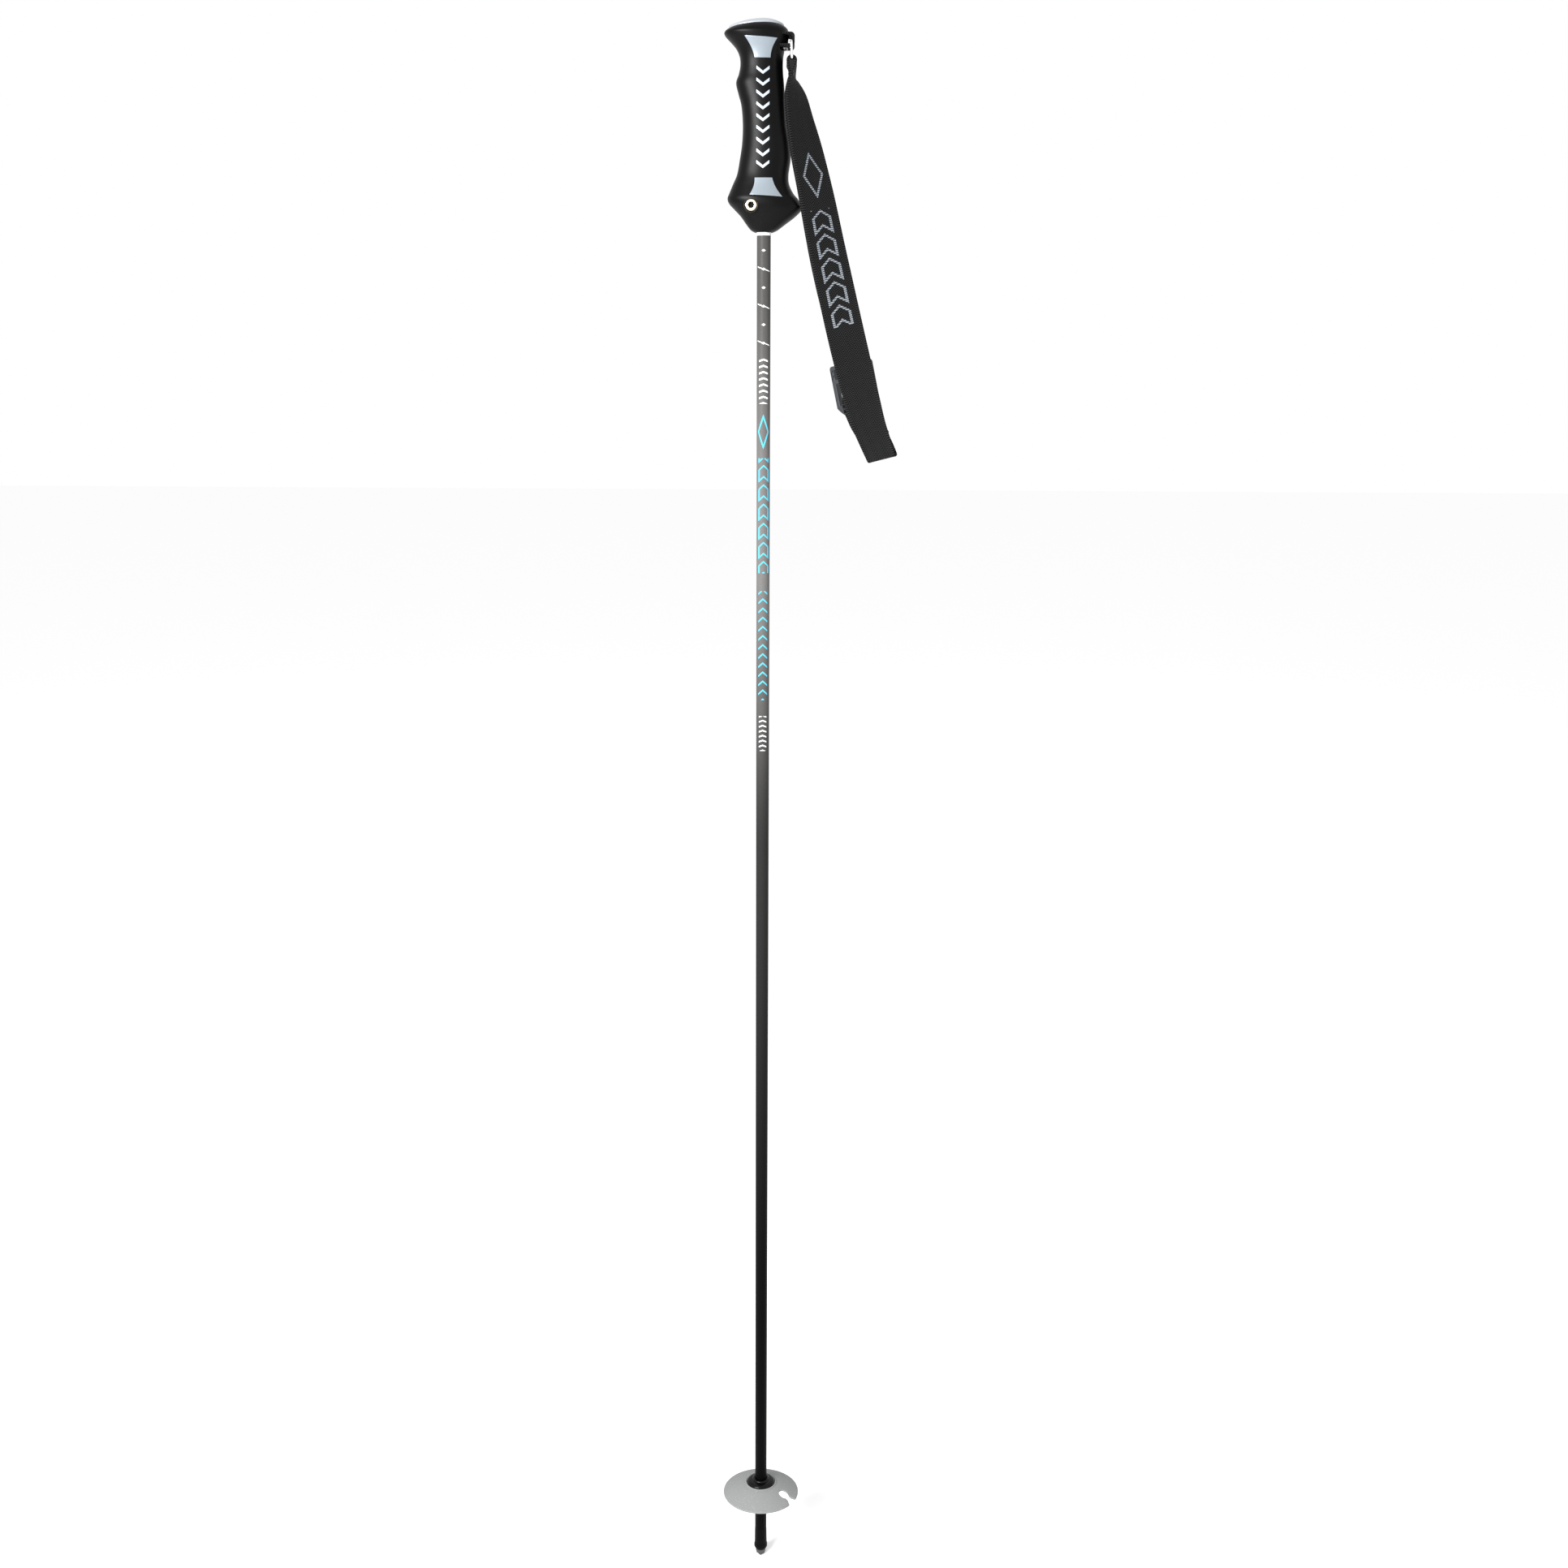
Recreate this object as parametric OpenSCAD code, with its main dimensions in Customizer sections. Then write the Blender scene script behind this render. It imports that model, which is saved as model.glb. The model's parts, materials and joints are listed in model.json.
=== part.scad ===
// Alpine ski pole: composite shaft, moulded grip with clamp screw, wrist strap on a wire ring,
// round snow basket and toothed steel tip. Millimetres, +Z up, tip at the origin, shaft along Z.
// The finger side of the grip faces -X and the strap hangs on the +X side.

/* [Shaft] */
// Outer radius of the shaft under the grip
shaft_r_top = 5.2; // [5.2:0.05:5.3]
// Outer radius of the shaft at the basket
shaft_r_low = 5.05; // [5.0:0.05:5.1]
// Wall thickness of the composite tube
shaft_wall = 1.15; // [0.9:0.05:1.3]
// Height where the shaft starts, inside the tip assembly
shaft_z0 = 26; // [24:0.5:30]

/* [Grip] */
// Height of the open lower end of the grip
grip_z0 = 1119.5; // [1119:0.5:1120]
// Height of the clamp screw's axis
clamp_z = 1138; // [1137.5:0.5:1138.5]
// Distance of the clamp screw in front of the shaft's axis
clamp_x = 9.2; // [9:0.1:9.6]

/* [Strap] */
// Width of the wrist webbing
web_w = 28; // [26:0.5:28]
// Thickness of the wrist webbing
web_t = 1.4; // [1.2:0.1:1.4]
// Wire radius of the strap ring
wire_r = 0.95; // [0.85:0.05:0.95]

/* [Basket] */
// Radius of the basket's rim
dish_r = 32.5; // [31:0.1:34]
// Height of the upper edge of the rim
rim_z = 62; // [61:0.5:64]
// Height of the dish's crown above its rim
dish_rise = 8.3; // [8:0.1:8.5]
// Thickness of the dish
dish_t = 1.5; // [1.3:0.1:1.6]

/* [Hidden] */
$fn = 96;

shaft_z1 = 1243;
taper_z0 = 300;
taper_z1 = 1100;

// Grip stations from the lower lip to the crown: [height, front, rear, half width in Y]
GRIP = [
    [grip_z0, -6.8, 6.8, 6.8],
    [1121.2, -9.8, 10.4, 8.8],
    [1125, -13, 15.6, 11.6],
    [1131, -17.4, 23.6, 14.8],
    [1136.5, -22.8, 28.8, 17.2],
    [1140, -26, 27.8, 18],
    [1143.6, -27.2, 25.4, 18],
    [1147.5, -25.8, 22, 17],
    [1154, -23, 18.8, 15.4],
    [1161, -20, 18.3, 14.6],
    [1172, -17.9, 19.8, 14.8],
    [1183, -16.3, 19, 14.8],
    [1196, -15.8, 16.8, 14.4],
    [1209, -16.8, 15.6, 14],
    [1217, -18.9, 15.2, 14],
    [1225, -20.7, 14.6, 14],
    [1231, -18.8, 14, 13.8],
    [1237, -17.6, 13.7, 13.9],
    [1243, -18, 14, 14.5],
    [1248.5, -20.4, 15.2, 15.6],
    [1253, -24.2, 17.2, 17],
    [1257.3, -28.4, 17.9, 18.1],
    [1260, -29.2, 17.8, 18.3],
    [1262.6, -26, 16.8, 16.8],
    [1265.2, -19, 13, 13.6],
    [1267.1, -10, 7, 7.8],
    [1267.8, -2, -1, 0.5],
];
GRIP_POWER = 2.25;    // roundness of each level of the grip, 2 is an ellipse
GRIP_SIDES = 32;
GRIP_STEPS = 2;

// Clamp core, a split sleeve with ears that the screw pulls together
core_r = 7.5;
core_z0 = 1124;
core_z1 = 1245;
ear_x = 13.2;
ear_y = 12.5;
ear_h = 4.6;
slit = 1.2;
screw_r = 2.5;
screw_head_r = 4.25;
screw_head_h = 5.2;
screw_socket_r = 2.35;
nut_r = 4.6;
nut_h = 4;

// Inlays and raised graphic on the flanks: corners as [x, z]
UPPER_INLAY = [[-14.4, 1255.6], [9.8, 1254.4], [4.8, 1241.0], [-7.0, 1240.8]];
LOWER_INLAY = [[-6.8, 1157.6], [6.3, 1157.6], [14.0, 1144.0], [-10.6, 1145.4]];
inlay_bow = 1.2;      // how far the inlays' long sides curve inwards
inlay_depth = 1.4;
graphic_z0 = 1164;
graphic_pitch = 8.2;
graphic_n = 9;
graphic_x = -0.7;     // middle of the chevron column
graphic_half = 4.8;
graphic_bar = 2.3;
graphic_drop = 3.6;
graphic_proud = 0.25;
graphic_sink = 0.5;

// Cap plate on the crown
plate_x0 = -26;
plate_x1 = 14.6;
plate_half_y = 13.4;
plate_t = 2.4;
plate_z = 1270;

// Ring hanger at the rear of the head
hang_t = 1.4;
hang_half = 12;
bar_x = 19.7;
bar_z = 1252.2;
hang_gap = 0.15;
hang_inner = wire_r + hang_gap;
run_z0 = bar_z - hang_inner - hang_t;
run_x0 = 11.4;
slot_top_z = 1259.1;
pin_x = 14.6;
pin_r = 1.9;
pin_head_r = 2.9;
pin_head_h = 2;
insert_r = 3;
insert_h = 5.8;

// Strap ring
ring_drop = 11.6;
ring_half = 16;
ring_corner = 1.5;
ring_lean = 2.5;
low_x = bar_x + ring_drop * sin(ring_lean);
low_z = bar_z - ring_drop * cos(ring_lean);

// Wrist webbing, front leg from the ring down: [x, y, z, turn of the width about Z]
FRONT = [
    [21.35, 0, 1231.2, 5],
    [23.7, -0.8, 1218, 30],
    [27.0, -2, 1200, 43],
    [32.2, -3.6, 1177, 56],
    [39.6, -5.6, 1145, 65],
    [47.9, -5.6, 1106, 75],
    [58.9, -4.4, 1059, 88],
    [68.0, -3.4, 1023, 100],
    [74.6, -2.4, 999, 108],
    [80.2, -1.4, 980, 116],
    [85.2, -0.4, 967, 122],
    [90.6, 0.9, 953.6, 129],
];
// Back leg from the ring down to the buckle's sewn loop
BACK = [
    [19.65, 0, 1231.2, 5],
    [22.3, 0.6, 1218, 30],
    [25.6, -0.6, 1200, 43],
    [31.0, -2.2, 1177, 56],
    [38.9, -4.0, 1145, 67],
    [47.6, 1.6, 1106, 80],
    [58.3, 9.2, 1062, 107],
];
fold_r = 1.2;
bulb_r = 3.1;
bulb_z = 1239.4;

// Buckle: centre, turn of its width about Z, and lean of its length
buckle_c = [70.2, 13, 1007.5];
buckle_turn = 131;
buckle_lean = 12;
buckle_half = 20;
buckle_top = -17.8;
buckle_end = 24.5;
buckle_t = 5;
window_half = 16.4;
web_u = 2.2;          // how far the webbing lies to one side of the buckle's window
sewn_bar_v = -16;
sewn_bar_r = 1.6;
lock_bar_v = 6.2;
lock_bar_r = 1.6;

// Basket hub and tip
hub_r = 12;
hub_neck_r = 9.2;
spin_gap = 0.08;
bowl_z = rim_z + dish_rise;
notch_turn = -31;
ferrule_lip_r = 5.7;

// ---------- helpers ----------
function unit(v) = v / norm(v);
function last(list) = list[len(list) - 1];

// Catmull-Rom curve through rows of numbers, with steps points for each stretch
function between(a, b, c, d, t) =
    0.5 * (2 * b + (c - a) * t + (2 * a - 5 * b + 4 * c - d) * t * t
        + (3 * b - 3 * c + d - a) * t * t * t);
function curve(rows, steps) = [
    for (i = [0:len(rows) - 2], j = [0:steps - 1])
        between(rows[max(i - 1, 0)], rows[i], rows[i + 1], rows[min(i + 2, len(rows) - 1)], j / steps),
    last(rows),
];

// Closed skin over rings that all have the same number of points and turn anticlockwise
module skin(rings) {
    n = len(rings[0]);
    m = len(rings);
    sides = [
        for (i = [0:m - 2], j = [0:n - 1])
            each [
                [i * n + j, (i + 1) * n + (j + 1) % n, i * n + (j + 1) % n],
                [i * n + j, (i + 1) * n + j, (i + 1) * n + (j + 1) % n],
            ]
    ];
    start = [for (j = [1:n - 2]) [0, j, j + 1]];
    end = [for (j = [1:n - 2]) [(m - 1) * n, (m - 1) * n + j + 1, (m - 1) * n + j]];
    polyhedron([for (ring = rings) each ring], concat(start, sides, end));
}

// ---------- shaft ----------
module shaft() {
    inner = shaft_r_low - shaft_wall;
    color("#2a2a2c") rotate_extrude() polygon([
        [inner, shaft_z0],
        [shaft_r_low, shaft_z0],
        [shaft_r_low, taper_z0],
        [shaft_r_top, taper_z1],
        [shaft_r_top, shaft_z1],
        [inner, shaft_z1],
    ]);
}

module shaft_plug() {
    plug_depth = 14;
    plug_flange = 1.5;
    color("#3a3a3a") rotate_extrude() polygon([
        [0, shaft_z1 - plug_depth],
        [shaft_r_low - shaft_wall, shaft_z1 - plug_depth],
        [shaft_r_low - shaft_wall, shaft_z1],
        [shaft_r_top, shaft_z1],
        [shaft_r_top, shaft_z1 + plug_flange],
        [0, shaft_z1 + plug_flange],
    ]);
}

module shaft_band() {
    band_h = 2.2;
    band_t = 0.2;
    color("#f0f0f0") translate([0, 0, grip_z0 - band_h]) difference() {
        cylinder(r = shaft_r_top + band_t, h = band_h);
        translate([0, 0, -1]) cylinder(r = shaft_r_top, h = band_h + 2);
    }
}

// ---------- grip ----------
function power_cos(a, p) = sign(cos(a)) * pow(abs(cos(a)), 2 / p);
function power_sin(a, p) = sign(sin(a)) * pow(abs(sin(a)), 2 / p);
function grip_ring(s) = [
    for (j = [0:GRIP_SIDES - 1])
        let (a = 360 * j / GRIP_SIDES)
            [
                (s[1] + s[2]) / 2 + (s[2] - s[1]) / 2 * power_cos(a, GRIP_POWER),
                s[3] * power_sin(a, GRIP_POWER),
                s[0],
            ]
];
GRIP_LEVELS = curve(GRIP, GRIP_STEPS);

// Half width of the grip in Y at the point [x, z] of its flank
function level_y(s, x) =
    let (t = min(abs((x - (s[1] + s[2]) / 2) / ((s[2] - s[1]) / 2)), 1))
        s[3] * pow(1 - pow(t, GRIP_POWER), 1 / GRIP_POWER);
function flank_y(x, z) =
    let (
        i = max([for (k = [0:len(GRIP_LEVELS) - 2]) if (GRIP_LEVELS[k][0] <= z) k]),
        a = GRIP_LEVELS[i],
        b = GRIP_LEVELS[i + 1]
    ) level_y(a + (b - a) * (z - a[0]) / (b[0] - a[0]), x);

// Outline of an inlay with its two long sides bowed inwards, as [x, z] points
function inlay_point(c, u, v) =
    let (
        bow = inlay_bow * 4 * v * (1 - v),
        left = c[0] + (c[3] - c[0]) * v + [bow, 0],
        right = c[1] + (c[2] - c[1]) * v - [bow, 0]
    ) left + (right - left) * u;

// Solid between the flank and a flat bottom, over a grid of nu by nv cells
module flank_pad(c, side, proud, floor_y, nu = 6, nv = 6) {
    top = [
        for (v = [0:nv], u = [0:nu])
            let (p = inlay_point(c, u / nu, v / nv))
                [p[0], side * (flank_y(p[0], p[1]) + proud), p[1]]
    ];
    low = [for (p = top) [p[0], side * floor_y, p[2]]];
    n = len(top);
    w = nu + 1;
    cells = [for (v = [0:nv - 1], u = [0:nu - 1]) v * w + u];
    rim = concat(
        [for (u = [0:nu - 1]) u],
        [for (v = [0:nv - 1]) v * w + nu],
        [for (u = [nu:-1:1]) nv * w + u],
        [for (v = [nv:-1:1]) v * w]
    );
    faces = concat(
        [for (k = cells) each [[k, k + 1, k + w + 1], [k, k + w + 1, k + w]]],
        [for (k = cells) each [[n + k, n + k + w + 1, n + k + 1], [n + k, n + k + w, n + k + w + 1]]],
        [
            for (i = [0:len(rim) - 1])
                let (a = rim[i], b = rim[(i + 1) % len(rim)])
                    each [[a, n + a, n + b], [a, n + b, b]]
        ]
    );
    polyhedron(concat(top, low), side > 0 ? [for (f = faces) [f[0], f[2], f[1]]] : faces);
}

function floor_of(c) =
    min([for (v = [0:6], u = [0:6]) let (p = inlay_point(c, u / 6, v / 6)) flank_y(p[0], p[1])])
        - inlay_depth;

module inlay_pocket(c, side) {
    outline = concat(
        [for (v = [0:6]) inlay_point(c, 0, v / 6)],
        [for (v = [6:-1:0]) inlay_point(c, 1, v / 6)]
    );
    reach = 10;
    translate([0, side > 0 ? floor_of(c) + reach : -floor_of(c), 0]) rotate([90, 0, 0])
        linear_extrude(reach) polygon(outline);
}

module clamp_cuts() {
    reach = 12;
    cylinder_gap = 0.1;
    translate([-ear_x, -ear_y, clamp_z - ear_h]) cube([ear_x, 2 * ear_y, 2 * ear_h]);
    translate([-clamp_x, -ear_y, clamp_z]) rotate([90, 0, 0])
        cylinder(r = screw_head_r + cylinder_gap, h = reach);
    translate([-clamp_x, ear_y, clamp_z]) rotate([-90, 0, 0]) cylinder(r = nut_r, h = reach, $fn = 6);
}

module hanger_cuts() {
    rear = 30;
    side_gap = 0.3;
    width = 2 * (hang_half + side_gap);
    translate([run_x0, -width / 2, run_z0 - pin_head_h - 0.8])
        cube([rear, width, hang_t + pin_head_h + 0.8]);
    translate([run_x0, -width / 2, slot_top_z - hang_t]) cube([rear, width, hang_t]);
    translate([pin_x, 0, run_z0]) cylinder(r = insert_r, h = hang_t + insert_h);
}

module grip_body() {
    mouth = 6;
    color("#161617") difference() {
        skin([for (s = GRIP_LEVELS) grip_ring(s)]);
        translate([0, 0, grip_z0 - 1]) cylinder(r = shaft_r_top, h = mouth);
        translate([0, 0, core_z0]) cylinder(r = core_r, h = core_z1 - core_z0);
        clamp_cuts();
        hanger_cuts();
        for (side = [-1, 1]) {
            inlay_pocket(UPPER_INLAY, side);
            inlay_pocket(LOWER_INLAY, side);
        }
    }
}

module clamp_core() {
    color("#202022") difference() {
        union() {
            translate([0, 0, core_z0]) cylinder(r = core_r, h = core_z1 - core_z0);
            translate([-ear_x, -ear_y, clamp_z - ear_h]) cube([ear_x, 2 * ear_y, 2 * ear_h]);
        }
        translate([0, 0, core_z0 - 1]) cylinder(r = shaft_r_top, h = shaft_z1 + 1 - core_z0);
        translate([0, 0, shaft_z1 - 0.1]) cylinder(r = shaft_r_top, h = 10);
        translate([-ear_x - 1, -slit / 2, core_z0 - 1]) cube([ear_x, slit, clamp_z + 10 - core_z0]);
        translate([-clamp_x, ear_y + 1, clamp_z]) rotate([90, 0, 0])
            cylinder(r = screw_r, h = 2 * ear_y + 2);
    }
}

module clamp_screw() {
    socket_depth = 3;
    color("#c9c3b4") translate([-clamp_x, 0, clamp_z]) rotate([90, 0, 0]) difference() {
        union() {
            translate([0, 0, -ear_y - nut_h]) cylinder(r = screw_r, h = 2 * ear_y + nut_h);
            translate([0, 0, ear_y]) cylinder(r = screw_head_r, h = screw_head_h);
        }
        translate([0, 0, ear_y + screw_head_h - socket_depth])
            cylinder(r = screw_socket_r, h = socket_depth + 1, $fn = 6);
    }
}

module clamp_nut() {
    color("#9a9a9c") translate([-clamp_x, ear_y, clamp_z]) rotate([-90, 0, 0]) difference() {
        cylinder(r = nut_r, h = nut_h, $fn = 6);
        translate([0, 0, -1]) cylinder(r = screw_r, h = nut_h + 2);
    }
}

// Cap plate: a curved disc whose top follows the crown from nose to tail
function plate_top(x, y) =
    let (k = x < 0 ? x / -plate_x0 : x / plate_x1)
        plate_z - (x < 0 ? 5.6 : 4.2) * pow(abs(k), 2) - 3.2 * pow(y / plate_half_y, 2);
module top_plate() {
    sides = 40;
    mid = (plate_x0 + plate_x1) / 2;
    half = (plate_x1 - plate_x0) / 2;
    function spot(k, a) = [mid + half * k * cos(a), plate_half_y * k * sin(a)];
    function ring(k, drop) = [
        for (j = [0:sides - 1])
            let (p = spot(k, 360 * j / sides)) [p[0], p[1], plate_top(p[0], p[1]) - drop]
    ];
    color("#c4cad0") skin([
        for (k = [0.02, 0.25, 0.5, 0.75, 0.9]) ring(k, plate_t),
        ring(1, plate_t * 0.75),
        ring(1, plate_t * 0.3),
        for (k = [0.97, 0.75, 0.5, 0.25, 0.02]) ring(k, 0),
    ]);
}

module upper_inlay_near() {
    color("#b4bfc9") flank_pad(UPPER_INLAY, -1, 0.1, floor_of(UPPER_INLAY));
}
module upper_inlay_far() {
    color("#b4bfc9") flank_pad(UPPER_INLAY, 1, 0.1, floor_of(UPPER_INLAY));
}
module lower_inlay_near() {
    color("#c3cad2") flank_pad(LOWER_INLAY, -1, 0.1, floor_of(LOWER_INLAY));
}
module lower_inlay_far() {
    color("#c3cad2") flank_pad(LOWER_INLAY, 1, 0.1, floor_of(LOWER_INLAY));
}

// A column of plain chevrons, each made of two slanted bars that meet in the middle
module side_graphic(side) {
    for (i = [0:graphic_n - 1], half = [-1, 1]) {
        z = graphic_z0 + graphic_pitch * i;
        outer = graphic_x + half * graphic_half;
        inner = graphic_x + half * 0.01;
        left = min(outer, inner);
        right = max(outer, inner);
        rise_left = half < 0 ? graphic_drop : 0;
        rise_right = half < 0 ? 0 : graphic_drop;
        corners = [
            [left, z + rise_left + graphic_bar],
            [right, z + rise_right + graphic_bar],
            [right, z + rise_right],
            [left, z + rise_left],
        ];
        bar_pad(corners, side);
    }
}

module bar_pad(c, side) {
    cells = 2;
    ring_of = function (v) [
        for (u = [0:cells]) let (p = c[0] + (c[1] - c[0]) * u / cells, q = c[3] + (c[2] - c[3]) * u / cells)
            p + (q - p) * v
    ];
    function out(p) = [p[0], side * (flank_y(p[0], p[1]) + graphic_proud), p[1]];
    function sunk(p) = [p[0], side * (flank_y(p[0], p[1]) - graphic_sink), p[1]];
    rings = [
        for (u = [0:cells])
            let (p = ring_of(0)[u], q = ring_of(1)[u])
                side < 0 ? [out(p), out(q), sunk(q), sunk(p)] : [sunk(p), sunk(q), out(q), out(p)]
    ];
    skin(rings);
}

module side_graphic_near() {
    color("#d5dae0") side_graphic(-1);
}
module side_graphic_far() {
    color("#d5dae0") side_graphic(1);
}

// ---------- ring hanger ----------
module quarter(center, inner, outer, turn) {
    translate(center) rotate(turn) intersection() {
        difference() {
            circle(outer);
            circle(inner);
        }
        square(outer + 1);
    }
}

module hanger_loop() {
    bend = 1.4;
    top_c = [bar_x + hang_inner - bend, slot_top_z - hang_t - bend];
    color("#1b1b1c") translate([0, hang_half, 0]) rotate([90, 0, 0]) linear_extrude(2 * hang_half)
        difference() {
            union() {
                translate([run_x0, run_z0]) square([bar_x - run_x0, hang_t]);
                quarter([bar_x, bar_z], hang_inner, hang_inner + hang_t, -90);
                translate([bar_x + hang_inner, bar_z]) square([hang_t, top_c[1] - bar_z]);
                quarter(top_c, bend, bend + hang_t, 0);
                translate([run_x0, slot_top_z - hang_t]) square([top_c[0] - run_x0, hang_t]);
            }
        }
}

// Loop with the screw's hole through its lower run
module ring_hanger() {
    difference() {
        hanger_loop();
        translate([pin_x, 0, run_z0 - 1]) cylinder(r = pin_r, h = hang_t + 2);
    }
}

module hanger_screw() {
    dome = 1.1;
    color("#8f9194") translate([pin_x, 0, run_z0]) difference() {
        union() {
            cylinder(r = pin_r, h = hang_t + insert_h - 0.5);
            translate([0, 0, -pin_head_h]) cylinder(r1 = pin_head_r - dome, r2 = pin_head_r, h = dome);
            translate([0, 0, dome - pin_head_h]) cylinder(r = pin_head_r, h = pin_head_h - dome);
        }
        for (a = [0, 90]) rotate(a) translate([-1.6, -0.35, -pin_head_h - 1]) cube([3.2, 0.7, 1.9]);
    }
}

module hanger_insert() {
    color("#b08d4a") translate([pin_x, 0, run_z0 + hang_t]) difference() {
        cylinder(r = insert_r, h = insert_h);
        translate([0, 0, -1]) cylinder(r = pin_r, h = insert_h + 2);
    }
}

// ---------- strap ring ----------
module strap_ring() {
    flat_y = ring_half - ring_corner;
    side_h = ring_drop - 2 * ring_corner;
    color("#d9dadb") translate([bar_x, 0, bar_z]) rotate([0, -ring_lean, 0]) union() {
        for (z = [0, -ring_drop])
            translate([0, flat_y, z]) rotate([90, 0, 0]) cylinder(r = wire_r, h = 2 * flat_y);
        for (s = [-1, 1])
            translate([0, s * ring_half, -ring_drop + ring_corner]) cylinder(r = wire_r, h = side_h);
        for (k = [0:3])
            translate([0, (k < 2 ? 1 : -1) * flat_y, (k % 3 == 0) ? -ring_corner : ring_corner - ring_drop])
                rotate([90, 0, 90]) rotate(k == 0 ? 0 : k == 1 ? -90 : k == 2 ? 180 : 90)
                    rotate_extrude(angle = 90) translate([ring_corner, 0]) circle(wire_r, $fn = 32);
    }
}

// ---------- wrist webbing ----------
// A ribbon's line is a list of [point, width direction]
function tangent(points, i) =
    unit(points[min(i + 1, len(points) - 1)] - points[max(i - 1, 0)]);
function spot(row) = [row[0], row[1], row[2]];
function square_to(w, t) = unit(w - (w * t) * t);
function leg(rows) =
    let (points = [for (r = rows) spot(r)])
        [
            for (i = [0:len(rows) - 1])
                [points[i], square_to([sin(rows[i][3]), cos(rows[i][3]), 0], tangent(points, i))]
        ];
function turn_back(line_end, t, radius, steps) =
    let (p = line_end[0], w = line_end[1], n = cross(t, w))
        [
            for (i = [1:steps])
                let (a = 180 * i / steps) [p - radius * (1 - cos(a)) * n + radius * sin(a) * t, w]
        ];

// The point of the buckle's own frame: u across, v down its length, o out of its upper face
buckle_down = [sin(buckle_lean), 0, -cos(buckle_lean)];
buckle_wide = square_to([sin(buckle_turn), cos(buckle_turn), 0], buckle_down);
buckle_out = cross(buckle_wide, buckle_down);
function at_buckle(v, o) = buckle_c + v * buckle_down + o * buckle_out;
function at_web(v, o) = at_buckle(v, o) + web_u * buckle_wide;
function flat_run(pairs) = [for (p = pairs) [at_web(p[0], p[1]), buckle_wide]];
function arc_run(v, r, from, to, steps) =
    flat_run([for (i = [0:steps]) let (a = from + (to - from) * i / steps) [v + r * cos(a), r * sin(a)]]);

// A flat strip along the line. Every cell is split from the upper +w corner to the lower -w one, so the
// two faces, and two runs that lie together, keep the same distance where the strip twists.
module ribbon(line, half_w, half_t) {
    points = [for (r = line) r[0]];
    rings = [
        for (i = [0:len(line) - 1])
            let (
                t = tangent(points, i),
                w = square_to(line[i][1], t),
                n = cross(t, w)
            )
                [
                    points[i] + half_w * w + half_t * n,
                    points[i] - half_w * w + half_t * n,
                    points[i] - half_w * w - half_t * n,
                    points[i] + half_w * w - half_t * n,
                ]
    ];
    top = 4 * (len(line) - 1);
    cells = [
        for (i = [0:len(line) - 2], j = [0:3])
            let (
                a = 4 * i + j,
                b = 4 * i + (j + 1) % 4,
                rising = points[i + 1][2] > points[i][2]
            )
                each (j < 2) != rising
                    ? [[a, b + 4, b], [a, a + 4, b + 4]]
                    : [[a, a + 4, b], [b, a + 4, b + 4]]
    ];
    caps = [[0, 1, 2], [0, 2, 3], [top, top + 2, top + 1], [top, top + 3, top + 2]];
    polyhedron([for (ring = rings) each ring], concat(cells, caps));
}

sewn_r = sewn_bar_r + 0.25 + web_t / 2;
lock_r = lock_bar_r + 0.15 + web_t / 2;
tail_o = -buckle_t / 2 - 0.15 - web_t / 2;
load_o = tail_o - web_t - 0.2;
exit_v = lock_bar_v + 7.9;   // where the loaded run leaves the buckle
join_at = 8;          // along the loaded run from there, where it becomes part of the buckle's body
join_gap = 0.3;
straight = 3;         // straight end of the webbing below the join
tail_gap = 1.9;       // between the middles of the loaded run and the free end behind it

// Sewn end round the buckle's upper bar, with its flap on the lower face
SEWN_END = concat(
    flat_run([[-36, -0.85], [-28, -0.95], [-22, -1.3]]),
    arc_run(sewn_bar_v, sewn_r, -120, 120, 8),
    flat_run([[-22, 1.3], [-28, 0.8]])
);
reversed_back = [for (i = [len(BACK) - 1:-1:0]) BACK[i]];
UP = leg(curve(reversed_back, 3));
BULB = [
    for (i = [0:10])
        let (a = 200 - 220 * i / 10)
            [[low_x + bulb_r * cos(a), 0, bulb_z + bulb_r * sin(a)], [0, 1, 0]]
];
DOWN = leg(curve(FRONT, 3));
down_end = last(DOWN);
down_dir = unit(down_end[0] - DOWN[len(DOWN) - 2][0]);
FOLD = turn_back([down_end[0], square_to(down_end[1], down_dir)], down_dir, fold_r, 8);
fold_end = last(FOLD);
// Loaded run: along the buckle's face towards the fold, then down to it
fold_straight = 2.5;  // straight webbing above the lower fold
exit_p = at_web(exit_v, load_o);
run_dir = square_to(fold_end[0] - exit_p, buckle_out);
run_wide = square_to(buckle_wide, run_dir);
function on_run(s) = [exit_p + s * run_dir, run_wide];
LOADED = [
    for (i = [0:6])
        let (
            k = i / 6,
            a = fold_end[0] - fold_straight * down_dir,
            d = on_run(join_at + straight)[0],
            b = a - 10 * down_dir,
            c = d + 6 * run_dir
        )
            [
                pow(1 - k, 3) * a + 3 * k * pow(1 - k, 2) * b + 3 * k * k * (1 - k) * c + pow(k, 3) * d,
                unit(fold_end[1] * (1 - k) + run_wide * k),
            ]
];
JOIN = [on_run(join_at + straight / 2), on_run(join_at + join_gap)];

module wrist_webbing() {
    line = concat(SEWN_END, UP, BULB, DOWN, FOLD, LOADED, JOIN);
    color("#19191a") ribbon(line, web_w / 2, web_t / 2);
}

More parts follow.
